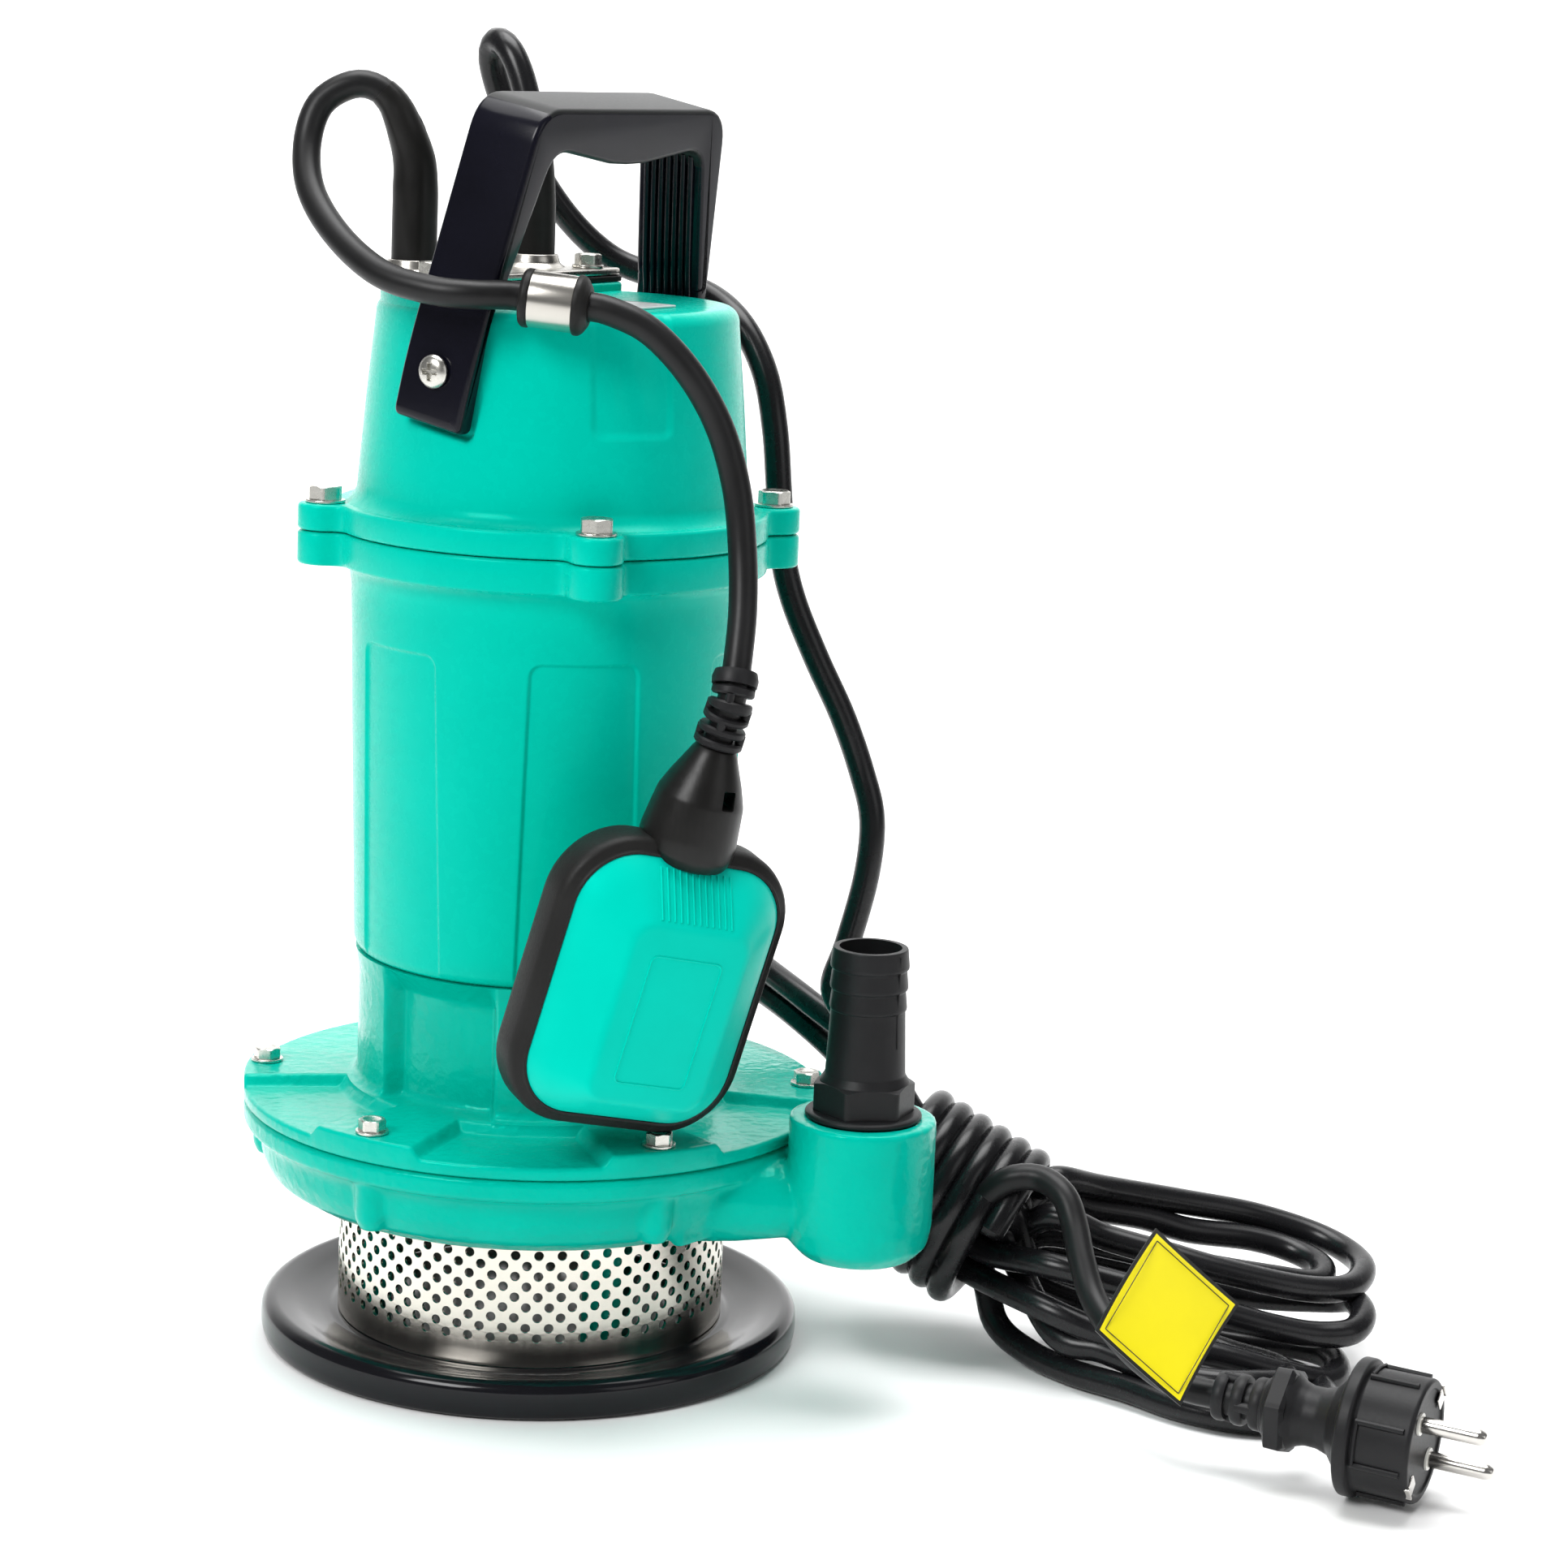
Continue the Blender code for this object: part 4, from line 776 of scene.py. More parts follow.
def motor_housing():
    """The motor tube with its six shallow upright panels, and its flange with bolt lugs."""
    azimuths = np.linspace(0.0, 360.0, 900, endpoint=False)
    offset = np.abs((azimuths - 15.0 + 30.0) % 60.0 - 30.0)
    heights = [*np.arange(HOUSING_BOTTOM + 3.2, PANEL_TOP - 7.0, 5.0),
               *np.arange(PANEL_TOP - 6.6, PANEL_TOP + 1.0, 0.35),
               *np.arange(PANEL_TOP + 2.0, 241.0, 4.0), 242.0, 243.4, 244.4, MID_FLANGE_BOTTOM + 0.4]
    angles = np.radians(azimuths)
    foot = ((50.5, HOUSING_BOTTOM), (55.8, HOUSING_BOTTOM), (56.8, HOUSING_BOTTOM + 1.0))
    rings = [ring_of(radius, angles, height) for radius, height in foot]
    for height in heights:
        radius = np.interp(height, [128.0, 192.0, 237.0, 241.0, 243.4, 245.4],
                           [57.8, 59.5, 60.6, 60.8, 61.8, 63.6])
        half = (PANEL_HALF_ANGLE + 0.025 * (PANEL_TOP - height)) * math.pi / 180 * radius
        across = offset * math.pi / 180 * radius - (half - PANEL_CORNER)
        above = height - (PANEL_TOP - PANEL_CORNER)
        inside = -corner_depth(across, above, PANEL_CORNER)
        rings.append(ring_of(radius - PANEL_DEPTH * smooth_step(inside, 0.0, 0.9), angles, height))
    flange = slab(flange_outline(), MID_FLANGE_BOTTOM, JOINT_HEIGHT, FLANGE_EDGE)
    piece("motor_housing_casting", merged(lofted(rings), flange), "enamel",
          replaces=["motor_housing"], crease=50)


def handle_frame(turn=0.0):
    """The handle's frame: -Y through the front screw, +Z up its lean, at the screws' height."""
    lean = HANDLE_LEAN if turn == 0.0 else -HANDLE_LEAN
    up = Matrix.Translation((0.0, 0.0, HANDLE_SCREW_HEIGHT))
    return up @ rotation(HANDLE_AZIMUTH + turn) @ rotation(lean, "Y")


def pocket_weight(points, place, half_width, bottom, corner=3.0, edge=1.8):
    """How far inside an upright, round-cornered pocket each point lies, from 0 to 1."""
    matrix = np.array(place.inverted())
    local = points @ matrix[:3, :3].T + matrix[:3, 3]
    across = np.abs(local[:, 0]) - (half_width - corner)
    below = (bottom + corner) - local[:, 2]
    inside = -corner_depth(across, below, corner)
    return np.where(local[:, 1] < 0, smooth_step(inside, 0.0, edge), 0.0)


def top_cap():
    """The cap: flats under the handle's arms, two spare ones, a lugged flange and the entry pad."""
    azimuths = np.linspace(0.0, 360.0, 900, endpoint=False)
    angles = np.radians(azimuths)
    profile = [(63.6, 262.9), (62.0, 263.9), (60.6, 265.2), (59.7, 267.0)]
    profile += [(float(np.interp(height, [267.0, 297.0, 320.0], [59.6, 57.1, 54.8])), height)
                for height in np.arange(268.0, 320.1, 0.65)]
    for turn in np.linspace(0.0, math.pi / 2, 9)[1:]:
        profile.append((50.2 + 4.6 * math.cos(turn), 320.6 + 5.0 * math.sin(turn)))
    profile += [(46.0, CAP_TOP), (30.0, CAP_TOP), (12.0, CAP_TOP), (0.01, CAP_TOP)]
    rings = []
    for radius, height in profile:
        ring = ring_of(radius, angles, height)
        reach = np.full(len(angles), radius)
        if radius > 47.0:
            for turn in (0.0, 180.0):
                aside = np.radians(turn_between(azimuths, HANDLE_AZIMUTH + turn))
                flat = HANDLE_PAD / np.maximum(np.cos(aside), 0.5)
                weight = pocket_weight(ring, handle_frame(turn), HANDLE_WIDTH / 2 + 2.2, -18.6)
                reach += weight * np.minimum(flat - reach, 0.0)
                reach -= 0.8 * pocket_weight(ring, rotation(28.0 + turn), 13.6, 289.0, 4.0, 2.6)
        rings.append(ring_of(reach, angles, height))
    flange = slab(flange_outline(), JOINT_HEIGHT + 0.3, LUG_TOP, FLANGE_EDGE)
    entry = slab(entry_segment(53.6, 11.0), 321.0, ENTRY_TOP, 1.0)
    piece("top_cap_casting", merged(lofted(rings), flange, entry), "enamel",
          replaces=["top_cap"], crease=50)


def entry_segment(radius, chord):
    """The cable entry's outline: a circle cut by a chord that runs along the handle."""
    count = 72
    half = math.degrees(math.acos(chord / radius))
    middle_azimuth = HANDLE_AZIMUTH - 90.0
    loop = [polar(radius, middle_azimuth - half + 2 * half * step / count).xy
            for step in range(count + 1)]
    return filleted_loop(loop, [4.0, *[0.0] * (count - 1), 4.0])


def hexagon(apothem, count=72, corner=0.6):
    """A hexagon's outline with slightly rounded corners."""
    points = []
    for step in range(count):
        angle = 2 * math.pi * step / count
        within = (angle + math.pi / 6) % (math.pi / 3) - math.pi / 6
        reach = min(apothem / math.cos(within), apothem / math.cos(math.pi / 6) - corner * 0.3)
        points.append((reach * math.cos(angle), reach * math.sin(angle)))
    return np.array(points)


def hex_bolt(node, spot, seat, thread_radius, turn, length):
    """A hexagon bolt on its washer, with a chamfered and slightly dished head."""
    washer_radius = thread_radius * 2.15
    apothem = thread_radius * 1.62
    thickness = 0.9
    top = thickness + thread_radius * 1.45
    washer = turned([(0.0, thickness), (washer_radius, thickness), (washer_radius, 0.0), (0.0, 0.0)],
                    48, 0.25)
    outline = hexagon(apothem)
    reach = np.linalg.norm(outline, axis=1)
    circle = outline / reach[:, None] * apothem
    rings = [level(outline, 0.7), level(outline, top - (reach - apothem) * 0.55 - 0.12)]
    for share, sink in ((0.97, 0.0), (0.72, 0.0), (0.6, -0.22), (0.001, -0.3)):
        rings.append(level(circle * share, top + sink))
    shank = turned([(0.0, 0.3), (thread_radius, 0.3), (thread_radius, -length), (0.0, -length)], 24)
    place = frame_at((spot[0], spot[1], seat + 0.1)) @ rotation(turn)
    piece(f"{node}_body", moved(merged(washer, lofted(rings), shank), place), "zinc",
          replaces=[node], crease=25)


def fasteners():
    """The cap's, the cover's and the clamp plate's bolts, each turned its own way."""
    for index, azimuth in enumerate(LUG_AZIMUTHS):
        hex_bolt(f"cap_bolt_{index + 1}", polar(LUG_CIRCLE, azimuth), LUG_TOP, 2.8, 17.0 * index + 6,
                 17.0)
    for index, azimuth in enumerate(COVER_BOLT_AZIMUTHS):
        node = f"cover_bolt_{index + 1}"
        hex_bolt(node, middle(node), COVER_TOP, 2.3, 23.0 * index + azimuth, 24.0)
    for index in range(2):
        node = f"clamp_plate_bolt_{index + 1}"
        hex_bolt(node, middle(node), ENTRY_PLATE_TOP, 2.35, 21.0 * index + 9, 11.0)


# ---------------------------------------------------------------- handle and cable entry

# Stands a flat outline up in the handle's frame: its X along Y, its Y along Z
UPRIGHT = Matrix(((0, 0, 1, 0), (1, 0, 0, 0), (0, 1, 0, 0), (0, 0, 0, 1)))


def carry_handle():
    """The leaning handle: a crowned bar on two tapering arms, the back arm fluted inside."""
    half = [((0.0, 62.9), 0.0), ((9.0, 63.2), 0.0), ((24.0, 65.4), 0.0), ((39.2, 67.6), 8.0),
            ((51.5, 27.0), 8.0), ((55.4, 17.0), 8.0), ((55.4, -16.2), 2.4), ((62.7, -16.2), 3.4),
            ((61.8, 4.0), 14.0), ((49.2, 79.6), 10.5)]
    points = [Vector(point) for point, _ in half] + [Vector((-x, y)) for (x, y), _ in half[:0:-1]]
    radii = [radius for _, radius in half] + [radius for _, radius in half[:0:-1]]
    outline = filleted_loop(points, radii, 8)
    frame_of_handle = handle_frame()
    body = slab(outline, -HANDLE_WIDTH / 2, HANDLE_WIDTH / 2, 1.6, 6)
    made = piece("carry_handle_moulding", moved(body, frame_of_handle @ UPRIGHT), "gloss_black",
                 replaces=["carry_handle"], crease=40)
    made.data.materials.append(LOOKS["bar_black"])
    inverse = frame_of_handle.inverted()
    turn = inverse.to_3x3()
    for face in made.data.polygons:
        centre = inverse @ (face.center / MM)
        on_bar = abs(centre.y) < GRIP_HALF_LENGTH and centre.z > GRIP_BOTTOM
        if on_bar and abs((turn @ face.normal).z) > 0.35:
            face.material_index = 1
    for index in range(7):
        across = (index - 3) * FLUTE_SPACING
        ridge = [(across, 39.6, 64.5), (across, 45.0, 46.8), (across, 51.2, 27.4),
                 (across, 55.0, 17.5), (across, 55.2, 14.0)]
        form = moved(swept(curve_through(ridge, 3.0), 0.95, 12), frame_of_handle)
        piece(f"handle_flute_{index + 1}", form, "gloss_black")


def pan_screw(node, place):
    """A pan head screw with a cross recess. Its axis is the place's Z."""
    angles = np.linspace(0.0, 2 * math.pi, 96, endpoint=False)
    rings = []
    for radius in [*np.linspace(4.9, 3.2, 5), *np.linspace(3.0, 0.02, 16)]:
        x = radius * np.cos(angles)
        y = radius * np.sin(angles)
        fall = math.sqrt(max(0.0, 1 - (radius / SCREW_HEAD_RADIUS) ** 2.6))
        dome = SCREW_HEAD_BASE + SCREW_HEAD_DOME * fall
        arm = np.minimum(np.maximum(np.abs(x) - 0.45, np.abs(y) - 2.3),
                         np.maximum(np.abs(y) - 0.45, np.abs(x) - 2.3))
        recess = 1.3 * (1 - smooth_step(arm, -0.1, 0.35))
        rings.append(np.column_stack([x, y, dome - recess]))
    shank = turned([(0.0, 63.2), (2.4, 63.2), (2.4, 47.0), (0.0, 47.0)], 24)
    head = lofted([level(rings[0][:, :2], 62.7), *rings])
    piece(f"{node}_body", moved(merged(head, shank), place @ rotation(12.0)), "zinc",
          replaces=[node], crease=30)


def handle_screws():
    """The two screws through the handle's arms."""
    for side, turn in (("front", 0.0), ("back", 180.0)):
        pan_screw(f"handle_screw_{side}", handle_frame(turn) @ rotation(90, "X"))


def cable_entry():
    """The gasket, the steel clamp plate with flared collars, and the two cable sleeves."""
    piece("clamp_gasket", slab(entry_segment(54.4, 11.6), ENTRY_TOP + 0.1, ENTRY_TOP + 1.9, 0.4),
          "rubber", replaces=["clamp_plate_gasket"])
    forms = [slab(entry_segment(54.0, 12.0), ENTRY_TOP + 1.9, ENTRY_PLATE_TOP, 0.9)]
    for node in ("float_cable_sleeve", "power_cable_sleeve"):
        collar = turned([(SLEEVE_RADIUS - 0.2, 336.4), (7.7, 336.6), (8.1, 335.4), (8.6, 333.8),
                         (10.6, 332.3), (10.6, 331.6), (SLEEVE_RADIUS - 0.2, 331.6)], 64, 0.5)
        forms.append(moved(collar, over(middle(node))))
    piece("cable_clamp_plate_pressing", merged(*forms), "stainless", replaces=["cable_clamp_plate"])
    spot = middle("power_cable_sleeve")
    heights = [330.5, 345.0, 352.0, 360.0, 366.5, 368.0]
    path = [(spot[0], spot[1], height) for height in heights]
    piece("power_cable_sleeve_tube", swept(path, [6.8, 6.8, 6.75, 6.2, 5.5, 4.4], 40), "rubber",
          replaces=["power_cable_sleeve"])
    spot = middle("float_cable_sleeve")
    path = curve_through([(spot[0], spot[1], 330.5), (spot[0], spot[1], 344.0),
                          (spot[0], spot[1], 356.0), (spot[0] - 0.6, spot[1], 366.0),
                          (-46.6, -12.0, 376.0), (-49.6, -12.0, 382.0), (-53.0, -12.4, 385.6)], 1.5)
    along = np.linspace(0.0, 1.0, len(path))
    radius = np.interp(along, [0.0, 0.46, 0.62, 0.8, 0.97, 1.0], [6.8, 6.8, 6.4, 5.5, 4.5, 4.3])
    u, v = path_frames(path)
    crease = path + (u * 0.72 + v * 0.3) * radius[:, None]
    first = len(path) // 3
    form = merged(swept(path, radius, 40), swept(crease[first:-6], 0.7, 10))
    piece("float_cable_sleeve_tube", form, "boot", replaces=["float_cable_sleeve"])


def ferrule():
    """The polished ferrule on its rubber bush, where the float's cable is held."""
    place = frame_at(FERRULE_CENTRE, FERRULE_AXIS)
    band = turned([(7.4, 6.5), (8.2, 6.5), (8.2, -6.5), (7.4, -6.5)], 64, 0.3)
    piece("ferrule_band", moved(band, place), "ferrule", replaces=["float_cable_ferrule"])
    bush = turned([(4.3, 10.6), (5.6, 10.6), (7.8, 9.2), (8.7, 8.0), (8.7, 6.5), (7.5, 6.4), (7.5, -6.4),
                   (8.5, -6.5), (8.5, -8.2), (7.6, -9.2), (4.3, -9.4)], 64, 0.5)
    piece("ferrule_bush", moved(bush, place), "rubber", replaces=["float_cable_bush"])


def float_cable_upper():
    """The float's cable from its sleeve, over one loop, into the ferrule."""
    spot = middle("float_cable_sleeve")
    axis = unit(FERRULE_AXIS)
    centre = np.array(FERRULE_CENTRE)
    path = curve_through([
        (spot[0], spot[1], 340.0), (spot[0], spot[1], 368.0), (-47, -12, 379), (-54, -12, 386),
        (-62, -13, 387), (-71, -15, 381), (-74, -20, 369), (-71, -30, 356), (-61, -43, 344),
        (-47, -57, 335), (-32, -65, 331.5), (-20, -67, 330.8), centre - axis * 12, centre,
        centre + axis * 6,
    ], 2.2)
    piece("float_cable_loop", swept(path, CABLE_RADIUS, 24), "cable", replaces=["float_cable_upper"])


# ---------------------------------------------------------------- float

def float_frame():
    """The float's frame: X across, Y along its length towards the cable, Z out of its front."""
    length = Vector(FLOAT_LENGTH_AXIS).normalized()
    face = polar(1.0, FLOAT_FACE_AZIMUTH)
    face = (face - length * face.dot(length)).normalized()
    return axes_at(FLOAT_CENTRE, length.cross(face), length, face)


def float_shell(side, turn):
    """One green half of the float: a bevelled shell with a plateau, an outline and fine ribs."""
    place = float_frame() @ rotation(turn, "Y")
    half_width = FLOAT_HALF_WIDTH - BAND_WALL - 0.3
    half_length = FLOAT_HALF_LENGTH - BAND_WALL - 0.3
    outer = rounded_rectangle(half_width, half_length, 17.6, 13)
    plateau = rounded_rectangle(18.6, 27.0, 6.0, 13) + (0.0, -3.4)
    section = ((0.3, 0.0, 0.0), (BAND_HALF - 0.4, 0.0, 0.0), (BAND_HALF + 0.9, 0.0, 0.3),
               (BAND_HALF + 1.7, 0.05, 0.3), (10.0, 0.12, 0.0), (13.5, 0.37, 0.0), (17.0, 0.64, 0.0),
               (20.0, 0.88, 0.0), (20.8, 0.95, 0.0), (21.1, 1.02, 0.0),
               (PLATEAU_HEIGHT, 1.1, 0.0))
    rings = []
    for height, blend, draw in section:
        ring = outer * (1 - min(blend, 1.0)) + plateau * min(blend, 1.0)
        rings.append(level(inset(ring, draw + max(0.0, blend - 1.0) * 12), height))
    frame_line = rounded_rectangle(11.6, 19.6, 2.0, 7) + (0.0, -4.5)
    emboss = swept(closed(level(frame_line, PLATEAU_HEIGHT)), RELIEF_LINE, 8)
    slope = np.array([(0.0, 38.2, 10.3), (0.0, 34.1, 13.6), (0.0, 29.7, 17.1), (0.0, 25.6, 20.2)])
    ribs = [swept(slope + ((index - 5.5) * RIB_SPACING, 0.0, 0.0), RELIEF_LINE, 8)
            for index in range(12)]
    form = merged(lofted(rings), emboss, *ribs)
    piece(f"float_shell_{side}_moulding", moved(form, place), "float_green", body="float",
          replaces=[f"float_shell_{side}"], crease=60)


def float_band():
    """The rubber band round the float, with a bead along each inner edge."""
    half = [(BAND_HALF - 3.6, 0.0), (BAND_HALF - 1.8, 0.4), (BAND_HALF - 0.5, 1.4), (BAND_HALF, 3.0),
            (BAND_HALF + 0.9, 3.6), (BAND_HALF + 0.9, 4.3), (BAND_HALF - 0.2, BAND_INNER)]
    other = [(-height, depth) for height, depth in half[::-1]]
    section = [*other[3:], *half, (0.0, BAND_INNER), *other[:4]]
    outer = rounded_rectangle(FLOAT_HALF_WIDTH, FLOAT_HALF_LENGTH, FLOAT_CORNER, 17)
    rings = [level(inset(outer, depth), height) for height, depth in section]
    piece("float_band_moulding", moved(lofted(rings, False, False), float_frame()), "rubber",
          body="float", replaces=["float_band"], crease=50)


def float_boot():
    """The boot over the cable's entry, with a small square window through its shoulder."""
    profile = [(0.0, 73.5), (5.6, 73.5), (6.6, 72.0), (8.2, 68.5), (10.6, 63.5), (12.4, 59.0),
               (12.9, 57.6), (13.6, 52.0), (14.3, 46.0), (14.2, 41.5), (12.6, 38.4), (9.0, 37.0),
               (0.0, 36.5)]
    form = moved(turned(profile, 72, 1.0), float_frame() @ rotation(-90, "X"))
    boot = piece("float_boot_moulding", form, "boot", body="float", replaces=["float_boot"],
                 crease=35)
    window = slab(rounded_rectangle(2.1, 2.6, 0.5, 4), -20.0, 20.0, 0.2)
    place = float_frame() @ Matrix.Translation((4.0, 60.6, 0.0)) @ rotation(-6, "Y")
    cutter = linked("boot_window", mesh_of("boot_window", moved(window, place)))
    cut = boot.modifiers.new("window", "BOOLEAN")
    cut.operation = "DIFFERENCE"
    cut.object = cutter
    apply_modifiers(boot, 35)
    bpy.data.objects.remove(cutter, do_unlink=True)


def float_cable_path():
    """The float's cable from its pivot at the ferrule down into the boot."""
    place = float_frame()
    end = [place @ Vector((0.0, height, 0.0)) for height in (88.0, 80.0, 66.0, 50.0)]
    return curve_through([(7.0, -65.3, 329.3), (13.0, -66.0, 328.8), (20.0, -66.5, 327.6),
                          (31.5, -66.5, 322.4), (43, -66, 311), CABLE_BEND_END, (57.5, -65, 279),
                          (60, -68, 262), (61, -73.5, 246), (60.4, -79.5, 232), *end], 2.2)


def slotted_sleeve(path, radius, ring_length, gap, bridge_radius):
    """A bend relief along a path: rings with open slots, joined by bridges on changing sides."""
    steps = np.linalg.norm(np.diff(path, axis=0), axis=1)
    distance = np.concatenate([[0.0], np.cumsum(steps)])

    def at(length):
        return np.array([np.interp(length, distance, path[:, axis]) for axis in range(3)])

    u, v = path_frames(path)
    forms = []
    start = 0.0
    index = 0
    while start + ring_length <= distance[-1]:
        reach = radius(start / distance[-1])
        ring_path = [at(stop) for stop in np.linspace(start, start + ring_length, 5)]
        forms.append(swept(ring_path, [reach - 0.5, reach, reach, reach, reach - 0.5], 32))
        if start + ring_length + gap < distance[-1]:
            near = int(np.searchsorted(distance, start))
            side = u[near] if index % 2 else v[near]
            for sign in (1, -1):
                ends = [at(start + ring_length * 0.5), at(start + ring_length * 1.5 + gap)]
                bridge = [end + side * sign * (reach - bridge_radius) for end in ends]
                forms.append(swept(bridge, bridge_radius, 12))
        start += ring_length + gap
        index += 1
    return merged(*forms)


def float_cable_lower():
    """The hanging cable, which bends near its pivot, and the slotted relief above the boot."""
    path = float_cable_path()
    cable = piece("float_cable_hanging", swept(path, CABLE_RADIUS, 24), "cable", body=None,
                  replaces=["float_cable_lower"])
    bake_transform(cable)
    heights = path[:, 2]
    boot_top = (float_frame() @ Vector((0.0, 72.5, 0.0))).z
    relief = path[(heights < RELIEF_TOP) & (heights > boot_top)][::-1]
    form = slotted_sleeve(relief, lambda t: 7.2 - 1.3 * t, 2.3, 1.5, 1.3)
    piece("float_cable_relief", form, "matte_black", body="float")
    piece("float_cable_relief_collar", swept(relief[-3:], [6.6, 6.8, 6.2], 32), "matte_black",
          body="float", crease=25)


# ---------------------------------------------------------------- hose connector

def hose_connector():
    """The screwed hose connector: flange, hexagon and a tube with three hose ridges."""
    ridges = []
    for index in range(3):
        top = BARB_TOP - 0.5 - 6.3 * index
        widest = BARB_RADIUS - 0.2 - 0.12 * index
        ridges += [(widest - 0.55, top), (widest, top - 4.9), (widest - 0.1, top - 5.6),
                   (widest - 0.45, top - 5.9)]
    tube = turned([
        (BARB_BORE, BARB_TOP), (BARB_RADIUS - 0.9, BARB_TOP), *ridges, (11.3, BARB_TOP - 21.0),
        (BARB_RADIUS, 102.6), (13.6, 100.2), (13.6, 98.0), (10.0, 98.0), (BARB_BORE, 98.0),
    ], 96, 0.35)
    bore = turned([(BARB_BORE + 0.6, 99.0), (BARB_BORE + 0.6, 72.0), (BARB_BORE - 0.2, 72.0),
                   (BARB_BORE - 0.2, 99.0)], 64)
    outline = hexagon(13.6, 144, 1.0)
    reach = np.linalg.norm(outline, axis=1)
    shoulder = 100.2 - (reach - 13.6) * 0.55
    rows = [(1.0, 90.4), (1.0, shoulder), (0.965, shoulder + 0.25), (0.78, 100.5), (0.78, 90.4)]
    nut = lofted([level(outline * share, height) for share, height in [*rows, rows[0]]],
                 False, False)
    flange = turned([(10.2, 91.0), (16.4, 91.0), (17.6, OUTLET_TOP + 1.4), (17.6, OUTLET_TOP + 0.2),
                     (10.2, OUTLET_TOP + 0.2)], 96, 0.5)
    stem = turned([(10.2, OUTLET_TOP + 1), (15.4, OUTLET_TOP + 1), (15.4, 74.4), (10.2, 74.4)], 64)
    angle = math.radians(-19.0)
    line = [((BARB_RADIUS - drop) * math.cos(angle), (BARB_RADIUS - drop) * math.sin(angle), height)
            for drop, height in ((0.35, 112.0), (0.85, 121.0), (0.5, 140.0))]
    seam = swept(line, 0.3, 8)
    place = over(OUTLET) @ rotation(-20)
    piece("hose_connector_moulding", moved(merged(tube, bore, nut, flange, stem, seam), place),
          "matte_black", replaces=["hose_connector"], crease=28)


# ---------------------------------------------------------------- power cable, plug and tag

# Each loop of the coil: along its upper branch, round its far end and back along the lower one
COIL_LOOPS = [
    [(165, 6, 55), (181, 18, 49), (210, 32, 41), (232, 38, 36), (252, 36, 31), (263, 26, 28),
     (265, 12, 27), (258, -2, 26), (242, -10, 28), (216, -14, 34), (200, -14, 38), (181, -12, 42),
     (162, -9, 47)],
    [(163, 10, 49), (176, 16, 43), (195, 24, 38), (210, 28, 33), (231, 32, 30), (245, 30, 27),
     (253, 20, 25), (249, 8, 24), (234, 2, 27), (208, 0, 31), (182, -1, 36), (163, -1, 39)],
    [(161, 10, 33), (180, 14, 27), (204, 20, 20), (231, 22, 14), (253, 12, 17), (261, 4, 20),
     (263, -8, 19), (258, -18, 17), (246, -22, 17), (232, -25, 20), (218, -27, 24), (200, -28, 29),
     (181, -27, 33), (162, -23, 36)],
    [(162, 6, 20), (184, 8, 13), (210, 8, 7), (229, 2, 6), (243, -2, 6), (252, -12, 7),
     (254, -22, 6), (249, -30, 5), (235, -36, 9), (212, -38, 15), (194, -36, 16), (177, -33, 19),
     (160, -27, 24)],
    [(158, 8, 15), (178, 6, 10), (204, 3, 4.3), (228, -13, 4.3), (242, -25, 4.3), (248, -38, 4.3),
     (242, -57, 4.3), (230, -65, 4.3), (218, -65, 4.3), (208, -61, 4.3), (199, -55, 4.3),
     (187, -44, 4.6), (171, -31, 4.3), (158, -16, 5), (148, -4, 10)],
    [(157, 4, 24), (177, 0, 16), (203, -6, 10), (221, -14, 7), (234, -28, 8), (235, -42, 9),
     (224, -52, 11), (211, -52, 11), (195, -44, 11), (180, -34, 13), (165, -25, 15)],
]
WRAP_START = Vector((113.0, 13.0, 57.0))
WRAP_END = Vector((147.5, 2.0, 38.0))
# Each loop's place among the wrapped strands: across the bundle, and its layer
WRAP_LANES = [(-1, 1), (0, 0), (1, 0), (1, 1), (0, 1), (-1, 0)]


def wrap_axes():
    """Unit vectors along the wrapped bundle, up from it and across it."""
    along = (WRAP_END - WRAP_START).normalized()
    up = (Vector((0.0, 0.0, 1.0)) - along * along.z).normalized()
    return along, up, along.cross(up)


def coil_loop(points, lane, nest):
    """One closed turn of the coil, led through the wraps at its own place in the bundle."""
    along, up, aside = wrap_axes()
    aside = aside * STRAND_SPACING * lane
    rise = up * (4.4 + STRAND_SPACING * nest)
    middle_of_wraps = (WRAP_START + WRAP_END) / 2
    turn = WRAP_START - along * (2.0 + 8.0 * nest) + aside
    return curve_through([
        middle_of_wraps + aside + rise, WRAP_END + aside + rise, *points, WRAP_END + aside - rise,
        middle_of_wraps + aside - rise, WRAP_START + aside - rise, turn - along * 4.0,
        WRAP_START + aside + rise, middle_of_wraps + aside + rise,
    ], 2.6)


